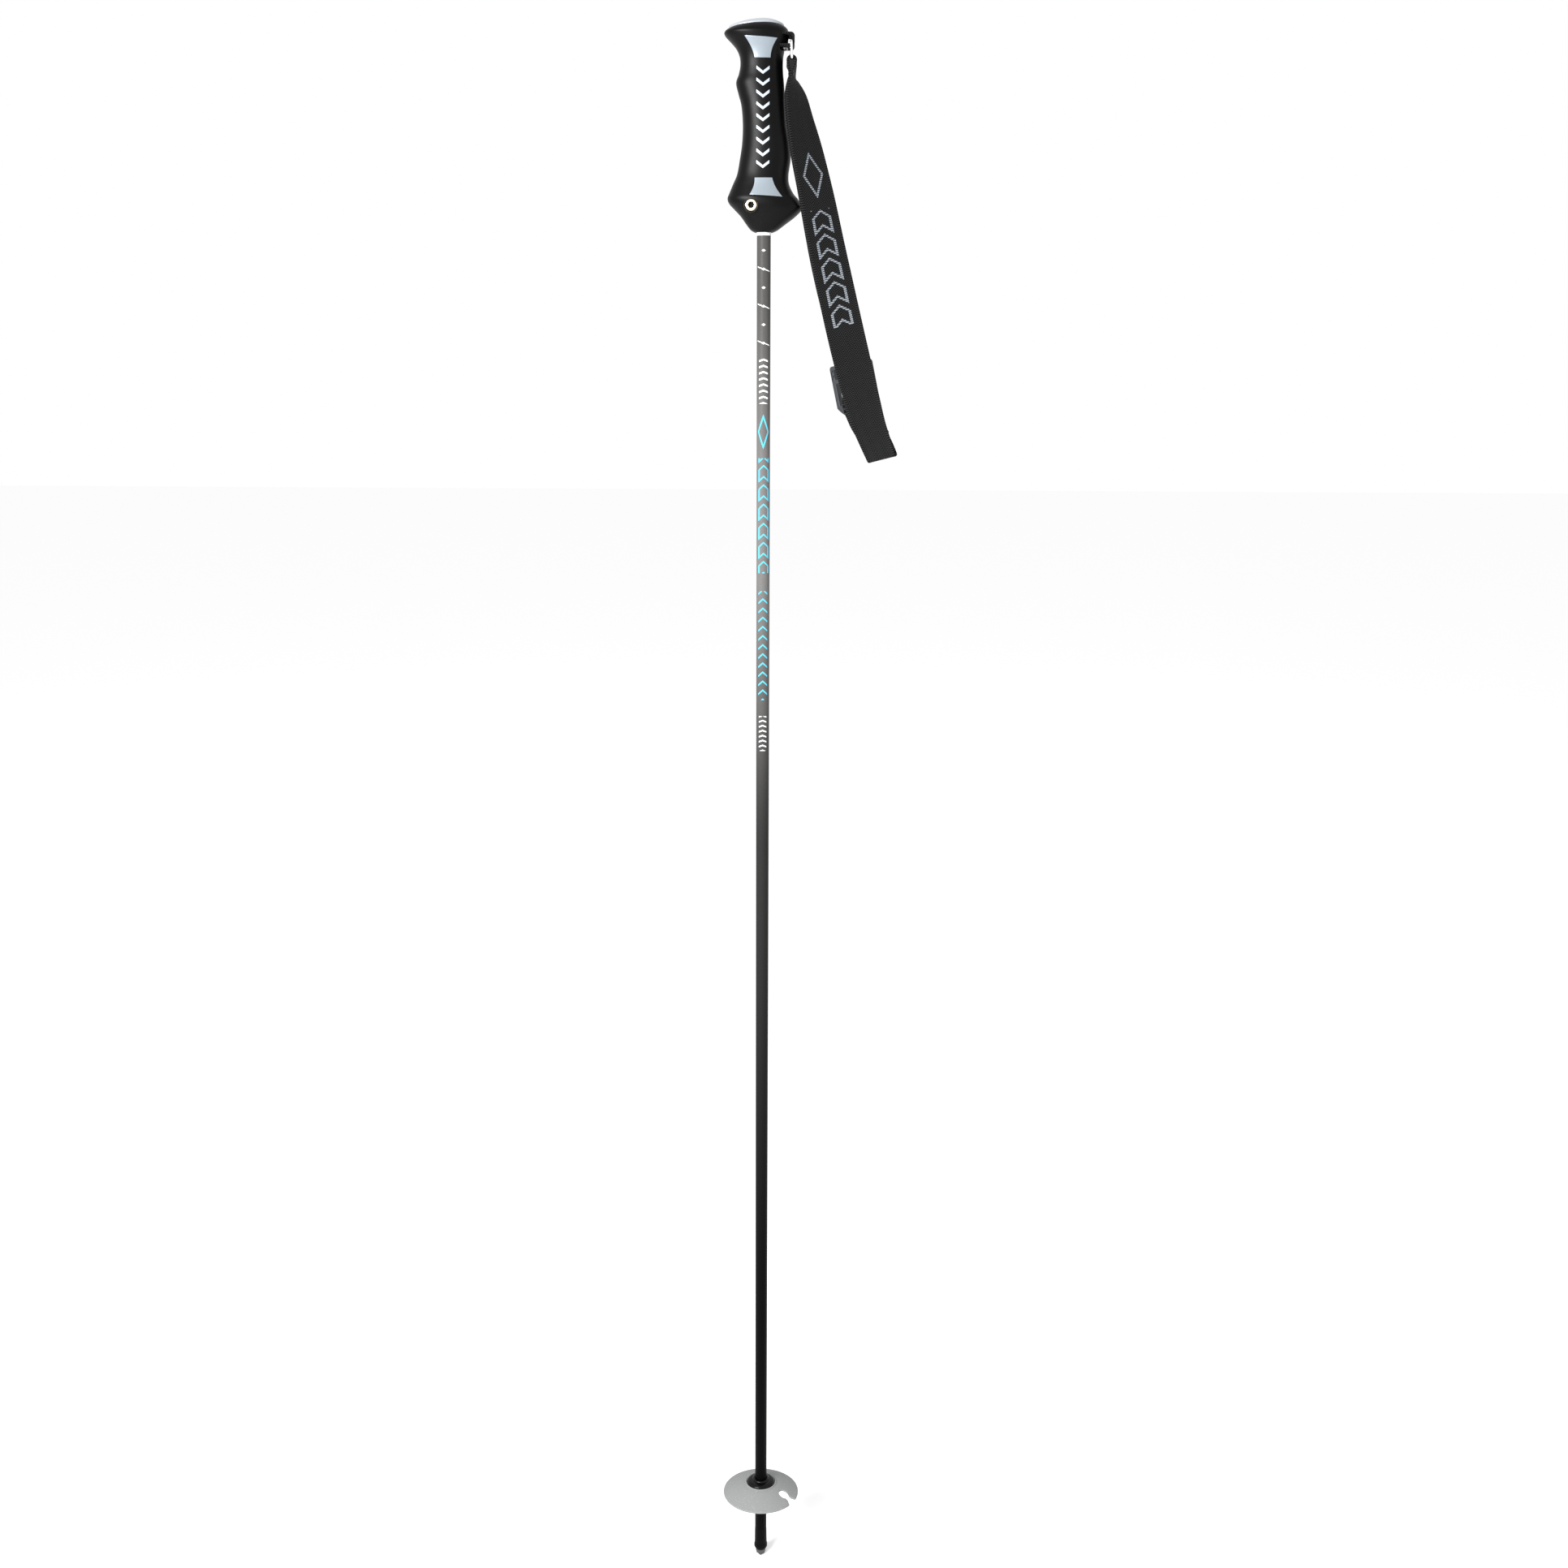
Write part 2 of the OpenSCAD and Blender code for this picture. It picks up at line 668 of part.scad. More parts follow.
// Free end of the webbing: up under the lower bar, round the locking bar and back down
TAIL = concat(
    [for (s = [join_at, 4, 0]) on_run(s)],
    flat_run([[lock_bar_v + 4, load_o + 0.4], [lock_bar_v + 1.8, -3.2]]),
    arc_run(lock_bar_v, lock_r, -110, -340, 8),
    flat_run([[lock_bar_v + 3, -0.6], [lock_bar_v + 3.8, -2.4], [lock_bar_v + 5.6, tail_o]]),
    [for (s = [3, 7, 10]) [on_run(s)[0] + (tail_o - load_o) * buckle_out, run_wide]],
    [for (i = [5:-1:2]) [LOADED[i][0] + tail_gap * buckle_out, LOADED[i][1]]]
);
module strap_tail() {
    color("#19191a") ribbon(TAIL, web_w / 2, web_t / 2);
}

// Bar tacks: rows of thread through both layers
module thread_rows(center, across, along, through, rows, span, length) {
    thread_r = 0.32;
    count = 13;
    for (r = [0:rows - 1], i = [0:count - 1]) {
        p = center + along * (r - (rows - 1) / 2) * 2.2 + across * span * (i / (count - 1) - 0.5);
        multmatrix([
            [across[0], along[0], through[0], p[0]],
            [across[1], along[1], through[1], p[1]],
            [across[2], along[2], through[2], p[2]],
            [0, 0, 0, 1],
        ])
            cylinder(r = thread_r, h = length, center = true, $fn = 8);
    }
}

module ring_bartack() {
    mid = (spot(FRONT[0]) + spot(BACK[0])) / 2;
    across = [sin(FRONT[0][3]), cos(FRONT[0][3]), 0];
    color("#2c2c2d") thread_rows(mid, across, [0, 0, -1], cross(across, [0, 0, -1]), 2, web_w - 5, 3.4);
}

module buckle_bartack() {
    color("#2c2c2d")
        thread_rows(at_web(-31.5, -0.05), buckle_wide, buckle_down, buckle_out, 3, web_w - 5, 3.4);
}

// ---------- buckle ----------
module buckle_outline() {
    end_r = 25;
    top_corner = 2.4;
    intersection() {
        union() {
            translate([-buckle_half, buckle_top + top_corner])
                square([2 * buckle_half, buckle_end - buckle_top - top_corner]);
            translate([-buckle_half + top_corner, buckle_top])
                square([2 * (buckle_half - top_corner), top_corner + 1]);
            for (s = [-1, 1])
                translate([s * (buckle_half - top_corner), buckle_top + top_corner]) circle(top_corner);
        }
        union() {
            translate([0, buckle_end - end_r]) circle(end_r);
            translate([-30, -30]) square([60, 40]);
        }
    }
}

module slot(v0, v1) {
    translate([-window_half, v0, -buckle_t]) cube([2 * window_half, v1 - v0, 2 * buckle_t]);
}

module bar(v, r) {
    translate([-window_half - 1, v, 0]) rotate([0, 90, 0]) cylinder(r = r, h = 2 * window_half + 2);
}

module buckle() {
    cross_v = [-7.4, -4.2];
    lower_v = lock_bar_v + 6.6;
    pad_v = lower_v + 3;
    color("#4b4e52") multmatrix([
        [buckle_wide[0], buckle_down[0], buckle_out[0], buckle_c[0]],
        [buckle_wide[1], buckle_down[1], buckle_out[1], buckle_c[1]],
        [buckle_wide[2], buckle_down[2], buckle_out[2], buckle_c[2]],
        [0, 0, 0, 1],
    ]) union() {
        difference() {
            translate([0, 0, -buckle_t / 2]) linear_extrude(buckle_t) buckle_outline();
            slot(buckle_top - 2, cross_v[0]);
            slot(cross_v[1], lower_v);
            translate([-10, pad_v, buckle_t / 2 - 1.2]) cube([20, 20, 3]);
            translate([-14, pad_v, -buckle_t]) cube([28, 6, buckle_t - 0.9]);
        }
        bar(sewn_bar_v, sewn_bar_r);
        bar(lock_bar_v, lock_bar_r);
    }
}

// ---------- basket ----------
flat_r = 13;
function dish_z(r) = bowl_z - dish_rise * pow(max(r - flat_r, 0) / (dish_r - flat_r), 1.25);

module basket_dish() {
    steps = 8;
    lip_r = 13.6;
    lip_h = 0.7;
    bore = hub_neck_r + spin_gap;
    radii = [for (i = [1:steps]) flat_r + (dish_r - flat_r) * i / steps];
    hole_at = 23.5;
    hole_r = 4.4;
    neck = 2.7;
    color("#a2a6a5") difference() {
        rotate_extrude() polygon(concat(
            [
                [bore, bowl_z - dish_t],
                [bore, bowl_z],
                [12.2, bowl_z],
                [12.2, bowl_z + lip_h],
                [lip_r, bowl_z + lip_h],
            ],
            [for (r = radii) [r, dish_z(r)]],
            [for (i = [steps - 1:-1:0]) [radii[i], dish_z(radii[i]) - dish_t]],
            [[flat_r, bowl_z - dish_t]]
        ));
        rotate(notch_turn) translate([0, 0, rim_z - 10]) {
            translate([hole_at, 0]) cylinder(r = hole_r, h = 30);
            linear_extrude(30) polygon([
                [hole_at, neck],
                [29, neck],
                [dish_r + 2, 6.3],
                [dish_r + 2, -6.3],
                [29, -neck],
                [hole_at, -neck],
            ]);
        }
    }
}

module basket_hub() {
    gap = 0.15;
    neck_top_r = 7.3;
    base = bowl_z + gap;
    low = bowl_z - dish_t - gap;
    color("#0d0d0e") rotate_extrude() polygon([
        [shaft_r_low, low - 3.4],
        [7.6, low - 3.4],
        [7.6, low],
        [hub_neck_r, low],
        [hub_neck_r, base],
        [hub_r - 0.3, base],
        [hub_r, base + 0.4],
        for (a = [0:15:90]) [7.9 + 3.9 * cos(a), base + 0.6 + 2.2 * sin(a)],
        [neck_top_r, base + 3],
        [neck_top_r, base + 3.6],
        [6.6, base + 4.3],
        [5.6, base + 4.4],
        [shaft_r_low, base + 4],
    ]);
}

module basket_lock_ring() {
    low = bowl_z - dish_t - 0.15;
    color("#1a1a1b") rotate_extrude() polygon([
        [7.6, low - 2.6],
        [10.4, low - 2.6],
        [11.4, low - 1.6],
        [11.4, low - 0.05],
        [hub_neck_r, low - 0.05],
        [7.6, low - 0.05],
    ]);
}

// ---------- tip ----------
module tip_ferrule() {
    spigot_r = shaft_r_low - shaft_wall;
    color("#141415") difference() {
        rotate_extrude() polygon([
            [0, 5.4],
            [4.5, 5.4],
            [ferrule_lip_r, 7.6],
            [ferrule_lip_r, 10.4],
            [5.35, 11.4],
            [5.15, shaft_z0 - 1],
            [shaft_r_low, shaft_z0],
            [spigot_r, shaft_z0],
            [spigot_r, 60],
            [0, 60],
        ]);
        translate([0, 0, 5]) cylinder(r = 2.6, h = 17);
    }
}

module tip_crown() {
    crown_r = 4.25;
    tooth_h = 3;
    tooth_gap = 2.2;
    color("#3b3c3e") difference() {
        union() {
            cylinder(r = crown_r, h = 5.4);
            translate([0, 0, 5.3]) cylinder(r = 2.6, h = 16.7);
        }
        for (a = [45, 135]) rotate(a) rotate([90, 0, 0])
            translate([0, 0, -10]) linear_extrude(20)
                polygon([[-tooth_gap, -0.01], [0, tooth_h], [tooth_gap, -0.01]]);
        translate([0, 0, -0.01]) cylinder(r1 = 2.6, r2 = 1, h = tooth_h);
        difference() {
            translate([0, 0, -1]) cylinder(r = 6, h = 4);
            translate([0, 0, 0]) cylinder(r1 = 3.3, r2 = 4.6, h = 3.1);
        }
    }
}

shaft();
shaft_plug();
shaft_band();
grip_body();
clamp_core();
clamp_screw();
clamp_nut();
top_plate();
upper_inlay_near();
upper_inlay_far();
lower_inlay_near();
lower_inlay_far();
side_graphic_near();
side_graphic_far();
ring_hanger();
hanger_screw();
hanger_insert();
strap_ring();
wrist_webbing();
ring_bartack();
buckle();
strap_tail();
buckle_bartack();
basket_hub();
basket_dish();
basket_lock_ring();
tip_ferrule();
tip_crown();
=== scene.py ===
import json
import math
import bmesh
import bpy
import numpy as np
from mathutils import Matrix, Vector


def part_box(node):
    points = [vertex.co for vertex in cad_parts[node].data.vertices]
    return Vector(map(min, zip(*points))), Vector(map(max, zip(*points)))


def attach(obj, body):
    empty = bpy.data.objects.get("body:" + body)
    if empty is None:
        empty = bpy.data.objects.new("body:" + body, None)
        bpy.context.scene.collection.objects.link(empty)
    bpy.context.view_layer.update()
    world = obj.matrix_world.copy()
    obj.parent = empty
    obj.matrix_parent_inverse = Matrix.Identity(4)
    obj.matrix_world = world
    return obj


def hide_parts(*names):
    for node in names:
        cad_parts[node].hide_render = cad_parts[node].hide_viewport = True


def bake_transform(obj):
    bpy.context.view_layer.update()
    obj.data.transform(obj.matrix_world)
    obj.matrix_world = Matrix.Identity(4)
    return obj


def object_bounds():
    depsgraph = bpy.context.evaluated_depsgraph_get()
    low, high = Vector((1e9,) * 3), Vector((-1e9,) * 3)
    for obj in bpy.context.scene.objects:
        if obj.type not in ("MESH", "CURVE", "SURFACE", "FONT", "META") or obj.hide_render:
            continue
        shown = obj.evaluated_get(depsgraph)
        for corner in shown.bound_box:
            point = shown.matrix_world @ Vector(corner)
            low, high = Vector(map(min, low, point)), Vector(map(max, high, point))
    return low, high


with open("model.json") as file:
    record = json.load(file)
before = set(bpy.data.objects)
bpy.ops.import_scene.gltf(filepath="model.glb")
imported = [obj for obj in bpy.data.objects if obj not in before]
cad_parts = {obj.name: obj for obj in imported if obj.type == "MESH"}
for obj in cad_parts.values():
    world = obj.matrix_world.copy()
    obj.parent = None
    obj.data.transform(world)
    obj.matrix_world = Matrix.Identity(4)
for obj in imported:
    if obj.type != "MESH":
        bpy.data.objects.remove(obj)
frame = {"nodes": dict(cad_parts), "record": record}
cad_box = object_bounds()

# Lengths below are in millimetres, as in the CAD; MM turns them into Blender's metres.
MM = 0.001
nodes = frame["nodes"]
joints = {joint["name"]: joint for joint in frame["record"]["behaviour"]["joints"]}


# ---------- the frame's own places, in millimetres ----------
def low(node):
    return np.array(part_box(node)[0]) / MM


def high(node):
    return np.array(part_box(node)[1]) / MM


def middle(node):
    return (low(node) + high(node)) / 2


def extent(node, axis):
    """The node's lowest and highest place along axis 0, 1 or 2, which is X, Y or Z."""
    return float(low(node)[axis]), float(high(node)[axis])


def joint_at(name):
    return np.array(joints[name]["pos_m"]) / MM


# ---------- vectors and curves ----------
def unit(v):
    return v / np.linalg.norm(v)


def squared(v, n):
    """The unit vector at right angles to n that lies nearest to v."""
    return unit(v - v.dot(n) * n)


def heading(points, i):
    """The direction of a line of points at its point i."""
    return unit(points[min(i + 1, len(points) - 1)] - points[max(i - 1, 0)])


def arc(x, y, reach_x, reach_y, degrees):
    """Points of a circle or an ellipse about [x, y], at these angles."""
    return [(x + reach_x * math.cos(a), y + reach_y * math.sin(a)) for a in np.radians(degrees)]


def rotated(points, angle, dx=0, dy=0):
    """[x, y] points turned by an angle in radians, then moved."""
    c, s = math.cos(angle), math.sin(angle)
    return [(dx + x * c - y * s, dy + x * s + y * c) for x, y in points]


def catmull(a, b, c, d, t):
    return 0.5 * (2 * b + (c - a) * t + (2 * a - 5 * b + 4 * c - d) * t**2 + (3 * b - 3 * c + d - a) * t**3)


def smooth_rows(rows, steps):
    """Rows of numbers with steps rows for each stretch, on a Catmull-Rom curve."""
    rows = [np.array(row, float) for row in rows]
    end = len(rows) - 1
    fine = [
        catmull(rows[max(i - 1, 0)], rows[i], rows[i + 1], rows[min(i + 2, end)], k / steps)
        for i in range(end)
        for k in range(steps)
    ]
    return fine + [rows[-1]]


# ---------- meshes ----------
def mend(mesh, merge=0.0):
    """Merges vertices closer than merge metres, and turns every face outwards."""
    bm = bmesh.new()
    bm.from_mesh(mesh)
    if merge:
        bmesh.ops.remove_doubles(bm, verts=bm.verts, dist=merge)
    bmesh.ops.recalc_face_normals(bm, faces=bm.faces)
    bm.to_mesh(mesh)
    bm.free()


def linked(name, data):
    """An object in the scene for this mesh, curve, lamp or camera."""
    item = bpy.data.objects.new(name, data)
    bpy.context.scene.collection.objects.link(item)
    return item


def make(name, verts, faces, angle=35):
    """A smooth-shaded object from vertices in millimetres."""
    mesh = bpy.data.meshes.new(name)
    mesh.from_pydata([tuple(float(x) * MM for x in v) for v in verts], [], faces)
    mesh.update()
    mend(mesh, 1e-7)
    piece = linked(name, mesh)
    shade(piece, angle)
    return piece


def from_curve(name, data):
    """The mesh object that a curve's data makes."""
    curve = linked(name + "_curve", data)
    graph = bpy.context.evaluated_depsgraph_get()
    mesh = bpy.data.meshes.new_from_object(curve.evaluated_get(graph))
    bpy.data.objects.remove(curve)
    return linked(name, mesh)


def shade(piece, angle=35):
    mesh = piece.data
    mesh.polygons.foreach_set("use_smooth", [True] * len(mesh.polygons))
    mesh.set_sharp_from_angle(angle=math.radians(angle))


def settle(piece, angle=35):
    """Applies the piece's modifiers."""
    graph = bpy.context.evaluated_depsgraph_get()
    piece.data = bpy.data.meshes.new_from_object(piece.evaluated_get(graph))
    piece.modifiers.clear()
    shade(piece, angle)
    return piece


def cut(piece, *tools, angle=35):
    """Takes the tools' shapes out of the piece."""
    for tool in tools:
        step = piece.modifiers.new("cut", "BOOLEAN")
        step.operation = "DIFFERENCE"
        step.solver = "EXACT"
        step.object = tool
        settle(piece, angle)
        bpy.data.objects.remove(tool)
    return piece


def soften(piece, width, segments=2, angle=40):
    """Rounds the piece's sharp edges."""
    step = piece.modifiers.new("edges", "BEVEL")
    step.width = width * MM
    step.segments = segments
    step.limit_method = "ANGLE"
    step.angle_limit = math.radians(angle)
    return settle(piece, angle)


def joined(name, pieces):
    """One object from several."""
    bm = bmesh.new()
    for piece in pieces:
        piece.data.transform(piece.matrix_world)
        bm.from_mesh(piece.data)
        bpy.data.objects.remove(piece)
    mesh = bpy.data.meshes.new(name)
    bm.to_mesh(mesh)
    bm.free()
    return linked(name, mesh)


def tube_faces(n, m, closed=False):
    """Faces that join m rings of n vertices each, capped at both ends unless closed."""
    faces = [
        (i * n + j, i * n + (j + 1) % n, (i + 1) % m * n + (j + 1) % n, (i + 1) % m * n + j)
        for i in range(m if closed else m - 1)
        for j in range(n)
    ]
    if not closed:
        faces += [tuple(range(n))[::-1], tuple(range((m - 1) * n, m * n))]
    return faces


def full_turn(sides):
    """The angles of sides corners, evenly spaced round a circle."""
    return [2 * math.pi * k / sides for k in range(sides)]


def loft(name, rings, closed=False, angle=35):
    """A skin over rings of equal length, capped at both ends unless closed."""
    verts = [p for ring in rings for p in ring]
    return make(name, verts, tube_faces(len(rings[0]), len(rings), closed), angle)


def lathe(name, profile, sides=160, angle=35):
    """Turns a closed profile of [radius, height] points about Z."""
    rings = [[(r * math.cos(a), r * math.sin(a), z) for r, z in profile] for a in full_turn(sides)]
    return loft(name, rings, closed=True, angle=angle)


def rod(name, radius, length, sides=64):
    """A cylinder along +Z from the origin, capped with fans."""
    return lathe(name, [(0, 0), (radius, 0), (radius, length), (0, length)], sides)


def axes_at(x_axis, y_axis, z_axis, place):
    """The matrix that turns X, Y and Z onto these axes and takes the origin to the place."""
    rows = [[x_axis[i], y_axis[i], z_axis[i], place[i]] for i in range(3)]
    return Matrix(rows + [[0, 0, 0, 1]])


def placed(piece, place, x_axis=(1, 0, 0), y_axis=(0, 1, 0), z_axis=(0, 0, 1)):
    """Moves the piece's mesh: its own axes come to lie along these."""
    matrix = axes_at(x_axis, y_axis, z_axis, [p * MM for p in place])
    piece.data.transform(matrix)
    if matrix.determinant() < 0:
        piece.data.flip_normals()
    return piece


def prism(name, outline, y0, y1):
    """An outline of [x, z] points, pulled from y0 to y1."""
    return loft(name, [[(x, y, z) for x, z in outline] for y in (y0, y1)])


def block(name, corner, size):
    x, y, z = corner
    dx, dy, dz = size
    return prism(name, [(x, z), (x + dx, z), (x + dx, z + dz), (x, z + dz)], y, y + dy)


def ribbed_line(line, spacing):
    """A ribbon's line of (point, width direction), resampled evenly and smoothly."""
    points = np.array([p for p, w in line], float)
    widths = np.array([w for p, w in line], float)
    fine = np.array(smooth_rows(np.hstack([points, widths]), 12))
    steps = np.linalg.norm(np.diff(fine[:, :3], axis=0), axis=1)
    along = np.concatenate([[0], np.cumsum(steps)])
    count = max(2, round(along[-1] / spacing))
    wanted = np.linspace(0, along[-1], count + 1)
    rows = np.array([np.interp(wanted, along, fine[:, k]) for k in range(6)]).T
    return rows[:, :3], rows[:, 3:], wanted


def ribbon(name, line, half_w, half_t, spacing=0.75, start=0.0, edge=0.16):
    """Flat webbing with rounded, faintly toothed edges and a UV map in millimetres.

    The face on the side of cross(run, width) has u from -half_w to half_w, the other is 100 on.
    """
    points, widths, along = ribbed_line(line, spacing)
    across = np.linspace(-1, 1, 23) * (half_w - half_t * 0.8)
    bulge = half_t * 0.8
    rim = arc(half_w - bulge, 0, bulge, half_t, [50, 18, -18, -50])
    section = [(u, half_t) for u in across] + rim + [(u, -half_t) for u in across[::-1]]
    section += [(-u, -v) for u, v in rim]
    rings, uv_rows = [], []
    for i in range(len(points)):
        run = heading(points, i)
        wide = squared(widths[i], run)
        out = np.cross(run, wide)
        tooth = edge if i % 2 else -edge
        ring = []
        for u, v in section:
            reach = u + math.copysign(tooth, u) if abs(u) > half_w - half_t else u
            raise_edge = 0.08 if abs(u) > half_w - 2.6 else 0.0
            ring.append(points[i] + reach * wide + (v + math.copysign(raise_edge, v)) * out)
        rings.append(ring)
        uv_rows.append([(u if v > 0 else u + 100, start + along[i]) for u, v in section])
    verts = [p for ring in rings for p in ring]
    uvs = [uv for row in uv_rows for uv in row]
    mesh = bpy.data.meshes.new(name)
    mesh.from_pydata([tuple(p * MM) for p in verts], [], tube_faces(len(section), len(rings)))
    layer = mesh.uv_layers.new(name="weave")
    for loop, spot in zip(mesh.loops, layer.data):
        spot.uv = uvs[loop.vertex_index]
    mesh.update()
    mend(mesh)
    piece = linked(name, mesh)
    shade(piece, 60)
    return piece, along[-1]


# ---------- materials ----------
def fill(node, **inputs):
    """Sets a node's inputs by name, with _ for each space."""
    for name, number in inputs.items():
        node.inputs[name.replace("_", " ")].default_value = number


class Value:
    """A number that a material works out at each point, written as plain arithmetic."""

    def __init__(self, tree, socket):
        self.tree = tree
        self.socket = socket

    def math(self, kind, *others):
        node = self.tree.nodes.new("ShaderNodeMath")
        node.operation = kind
        for place, item in enumerate((self,) + others):
            if isinstance(item, Value):
                self.tree.links.new(item.socket, node.inputs[place])
            else:
                node.inputs[place].default_value = item
        return Value(self.tree, node.outputs[0])

    def __add__(self, other):
        return self.math("ADD", other)

    def __sub__(self, other):
        return self.math("SUBTRACT", other)

    def __mul__(self, other):
        return self.math("MULTIPLY", other)

    def below(self, other):
        return self.math("LESS_THAN", other)

    def above(self, other):
        return self.math("GREATER_THAN", other)

    def size(self):
        return self.math("ABSOLUTE")

    def between(self, a, b):
        return self.above(a) * self.below(b)

    def wave(self, pitch):
        """A sine from -1 to 1 with this pitch."""
        return (self * (2 * math.pi / pitch)).math("SINE")

    def saw(self, pitch):
        """Runs from 0 to pitch again and again."""
        return self.math("FLOORED_MODULO", pitch)

    def fold(self, pitch):
        """Runs from 0 to pitch and back again."""
        return self.math("PINGPONG", pitch)

    def soft_step(self, a, b):
        node = self.tree.nodes.new("ShaderNodeMapRange")
        node.interpolation_type = "SMOOTHSTEP"
        self.tree.links.new(self.socket, node.inputs["Value"])
        fill(node, From_Min=a, From_Max=b)
        return Value(self.tree, node.outputs["Result"])


class Material:
    """A Principled material with its own small kit of nodes."""

    def __init__(self, name, color, roughness=0.5, metallic=0.0, **sockets):
        self.data = bpy.data.materials.new(name)
        self.data.use_nodes = True
        self.tree = self.data.node_tree
        self.shader = self.tree.nodes["Principled BSDF"]
        fill(self.shader, Base_Color=(*color, 1), Roughness=roughness, Metallic=metallic, **sockets)

    def place(self, kind="Object"):
        """The point's x, y and z in millimetres, or its u and v on a ribbon."""
        if kind == "UV":
            node = self.tree.nodes.new("ShaderNodeUVMap")
            node.uv_map = "weave"
            socket, scale = node.outputs["UV"], 1
        else:
            node = self.tree.nodes.new("ShaderNodeTexCoord")
            socket, scale = node.outputs[kind], 1 / MM
        split = self.tree.nodes.new("ShaderNodeSeparateXYZ")
        self.tree.links.new(socket, split.inputs[0])
        return [Value(self.tree, out) * scale for out in split.outputs]

    def noise(self, grain, detail=3.0, roughness=0.55):
        """Noise from 0 to 1 whose blotches are about grain millimetres across."""
        place = self.tree.nodes.new("ShaderNodeTexCoord")
        node = self.tree.nodes.new("ShaderNodeTexNoise")
        fill(node, Scale=1 / (grain * MM), Detail=detail, Roughness=roughness)
        self.tree.links.new(place.outputs["Object"], node.inputs["Vector"])
        return Value(self.tree, node.outputs["Fac"])

    def paint(self, amount, color):
        """Mixes color over the base by amount, from 0 to 1."""
        node = self.tree.nodes.new("ShaderNodeMix")
        node.data_type = "RGBA"
        self.tree.links.new(amount.socket, node.inputs["Factor"])
        base = self.shader.inputs["Base Color"]
        if base.is_linked:
            self.tree.links.new(base.links[0].from_socket, node.inputs["A"])
        else:
            node.inputs["A"].default_value = base.default_value
        node.inputs["B"].default_value = (*color, 1)
        self.tree.links.new(node.outputs["Result"], base)
        return self

    def gloss(self, amount, start, end):
        """Roughness from start to end as amount goes from 0 to 1."""
        self.tree.links.new((amount * (end - start) + start).socket, self.shader.inputs["Roughness"])
        return self

    def bump(self, height, depth):
        """Relief of this depth in millimetres."""
        node = self.tree.nodes.new("ShaderNodeBump")
        fill(node, Strength=1.0, Distance=depth * MM)
        self.tree.links.new(height.socket, node.inputs["Height"])
        self.tree.links.new(node.outputs["Normal"], self.shader.inputs["Normal"])
        return self


def dress(piece, material):
    piece.data.materials.clear()
    piece.data.materials.append(material.data)
    return piece


def moulded(name, color, roughness, grain=0.35, depth=0.012, **sockets):
    """Moulded plastic or rubber: fine grain, and wear that varies its gloss."""
    material = Material(name, color, roughness, **sockets)
    fine = material.noise(grain, 4)
    broad = material.noise(14, 2)
    material.paint((broad - 0.35) * 0.6, tuple(c * 1.7 + 0.001 for c in color))
    material.gloss(broad, roughness - 0.05, roughness + 0.09)
    return material.bump(fine, depth)


def grip_rubber():
    material = Material("grip_rubber", (0.0012, 0.0012, 0.0013), 0.37, Specular_IOR_Level=0.1)
    fine = material.noise(0.45, 5, 0.65)
    broad = material.noise(22, 2)
    material.paint((broad - 0.4) * 0.7, (0.003, 0.003, 0.0032))
    material.gloss(broad, 0.34, 0.42)
    return material.bump(fine, 0.03)


def metal(name, color, roughness, brushed=0.0, metallic=1.0):
    material = Material(name, color, roughness, metallic)
    broad = material.noise(6, 3)
    material.gloss(broad, roughness * 0.85, roughness * 1.3)
    if brushed:
        x, _, z = material.place()
        streak = (material.noise(2.5, 2) * 6 + x * 3 + z).wave(brushed)
        material.bump(streak, 0.004)
    else:
        material.bump(material.noise(0.6, 3), 0.004)
    return material


def pearl(name, color, roughness=0.34):
    """Silver pearl lacquer with fine flakes."""
    material = Material(name, color, roughness, 0.25, Coat_Weight=0.35, Coat_Roughness=0.2)
    flakes = material.noise(0.22, 2, 0.7)
    broad = material.noise(16, 1)
    material.paint(flakes.soft_step(0.5, 0.72) * 0.5, tuple(min(1, c * 1.25) for c in color))
    material.paint((broad - 0.4) * 0.5, tuple(c * 0.85 for c in color))
    return material.bump(flakes, 0.006)


def webbing(name, motif=None):
    """Black webbing: a broken twill between ribbed selvedges, and maybe a woven motif."""
    material = Material(name, (0.0012, 0.0012, 0.0013), 0.8, Specular_IOR_Level=0.06, Sheen_Weight=0.03)
    u, v, _ = material.place("UV")
    side = u.above(50)
    u = u - side * 100
    chevron = (u + 14).fold(4.7)
    twill = (v + chevron * 1.15).wave(1.9) * 0.5 + 0.5
    ends = (u.wave(1.05) * 0.5 + 0.5) * 0.35
    selvedge = u.size().soft_step(11.6, 12.2)
    ribs = v.wave(1.7) * 0.5 + 0.5
    height = (twill * 0.85 + ends) * (selvedge * -1 + 1) + (ribs * 0.85 + 0.25) * selvedge
    # Painted highlight: the raised threads of the weave are painted lighter, as if lit
    thread_highlight = height.soft_step(0.5, 1.15)
    material.paint(thread_highlight * 0.9, (0.02, 0.02, 0.021))
    fuzz = material.noise(5, 4)
    material.paint((fuzz - 0.45) * 0.4, (0.014, 0.014, 0.015))
    if motif:
        picks = v.wave(1.5).above(-0.55)
        shown = motif(u, v) * picks * (side * -1 + 1)
        material.paint(shown * 0.92, (0.2, 0.22, 0.245))
        height = height + shown * 0.5
    return material.bump(height, 0.24)


def chevron_marks(across, along, first, last, pitch, stroke, half, slope, hollow=0.0):
    """A column of chevrons between first and last along the column's length."""
    inside = along.between(first, last) * across.size().below(half)
    phase = (along - first + across.size() * slope).saw(pitch)
    marks = phase.between(0, stroke)
    if hollow:
        marks = marks * (phase.between(hollow, stroke - hollow) * across.size().below(half - hollow) * -1 + 1)
    return inside * marks


def diamond_mark(across, along, centre, half_w, half_l, line):
    """The outline of one diamond."""
    reach = across.size() * (1 / half_w) + (along - centre).size() * (1 / half_l)
    return reach.between(1 - line / half_w, 1)


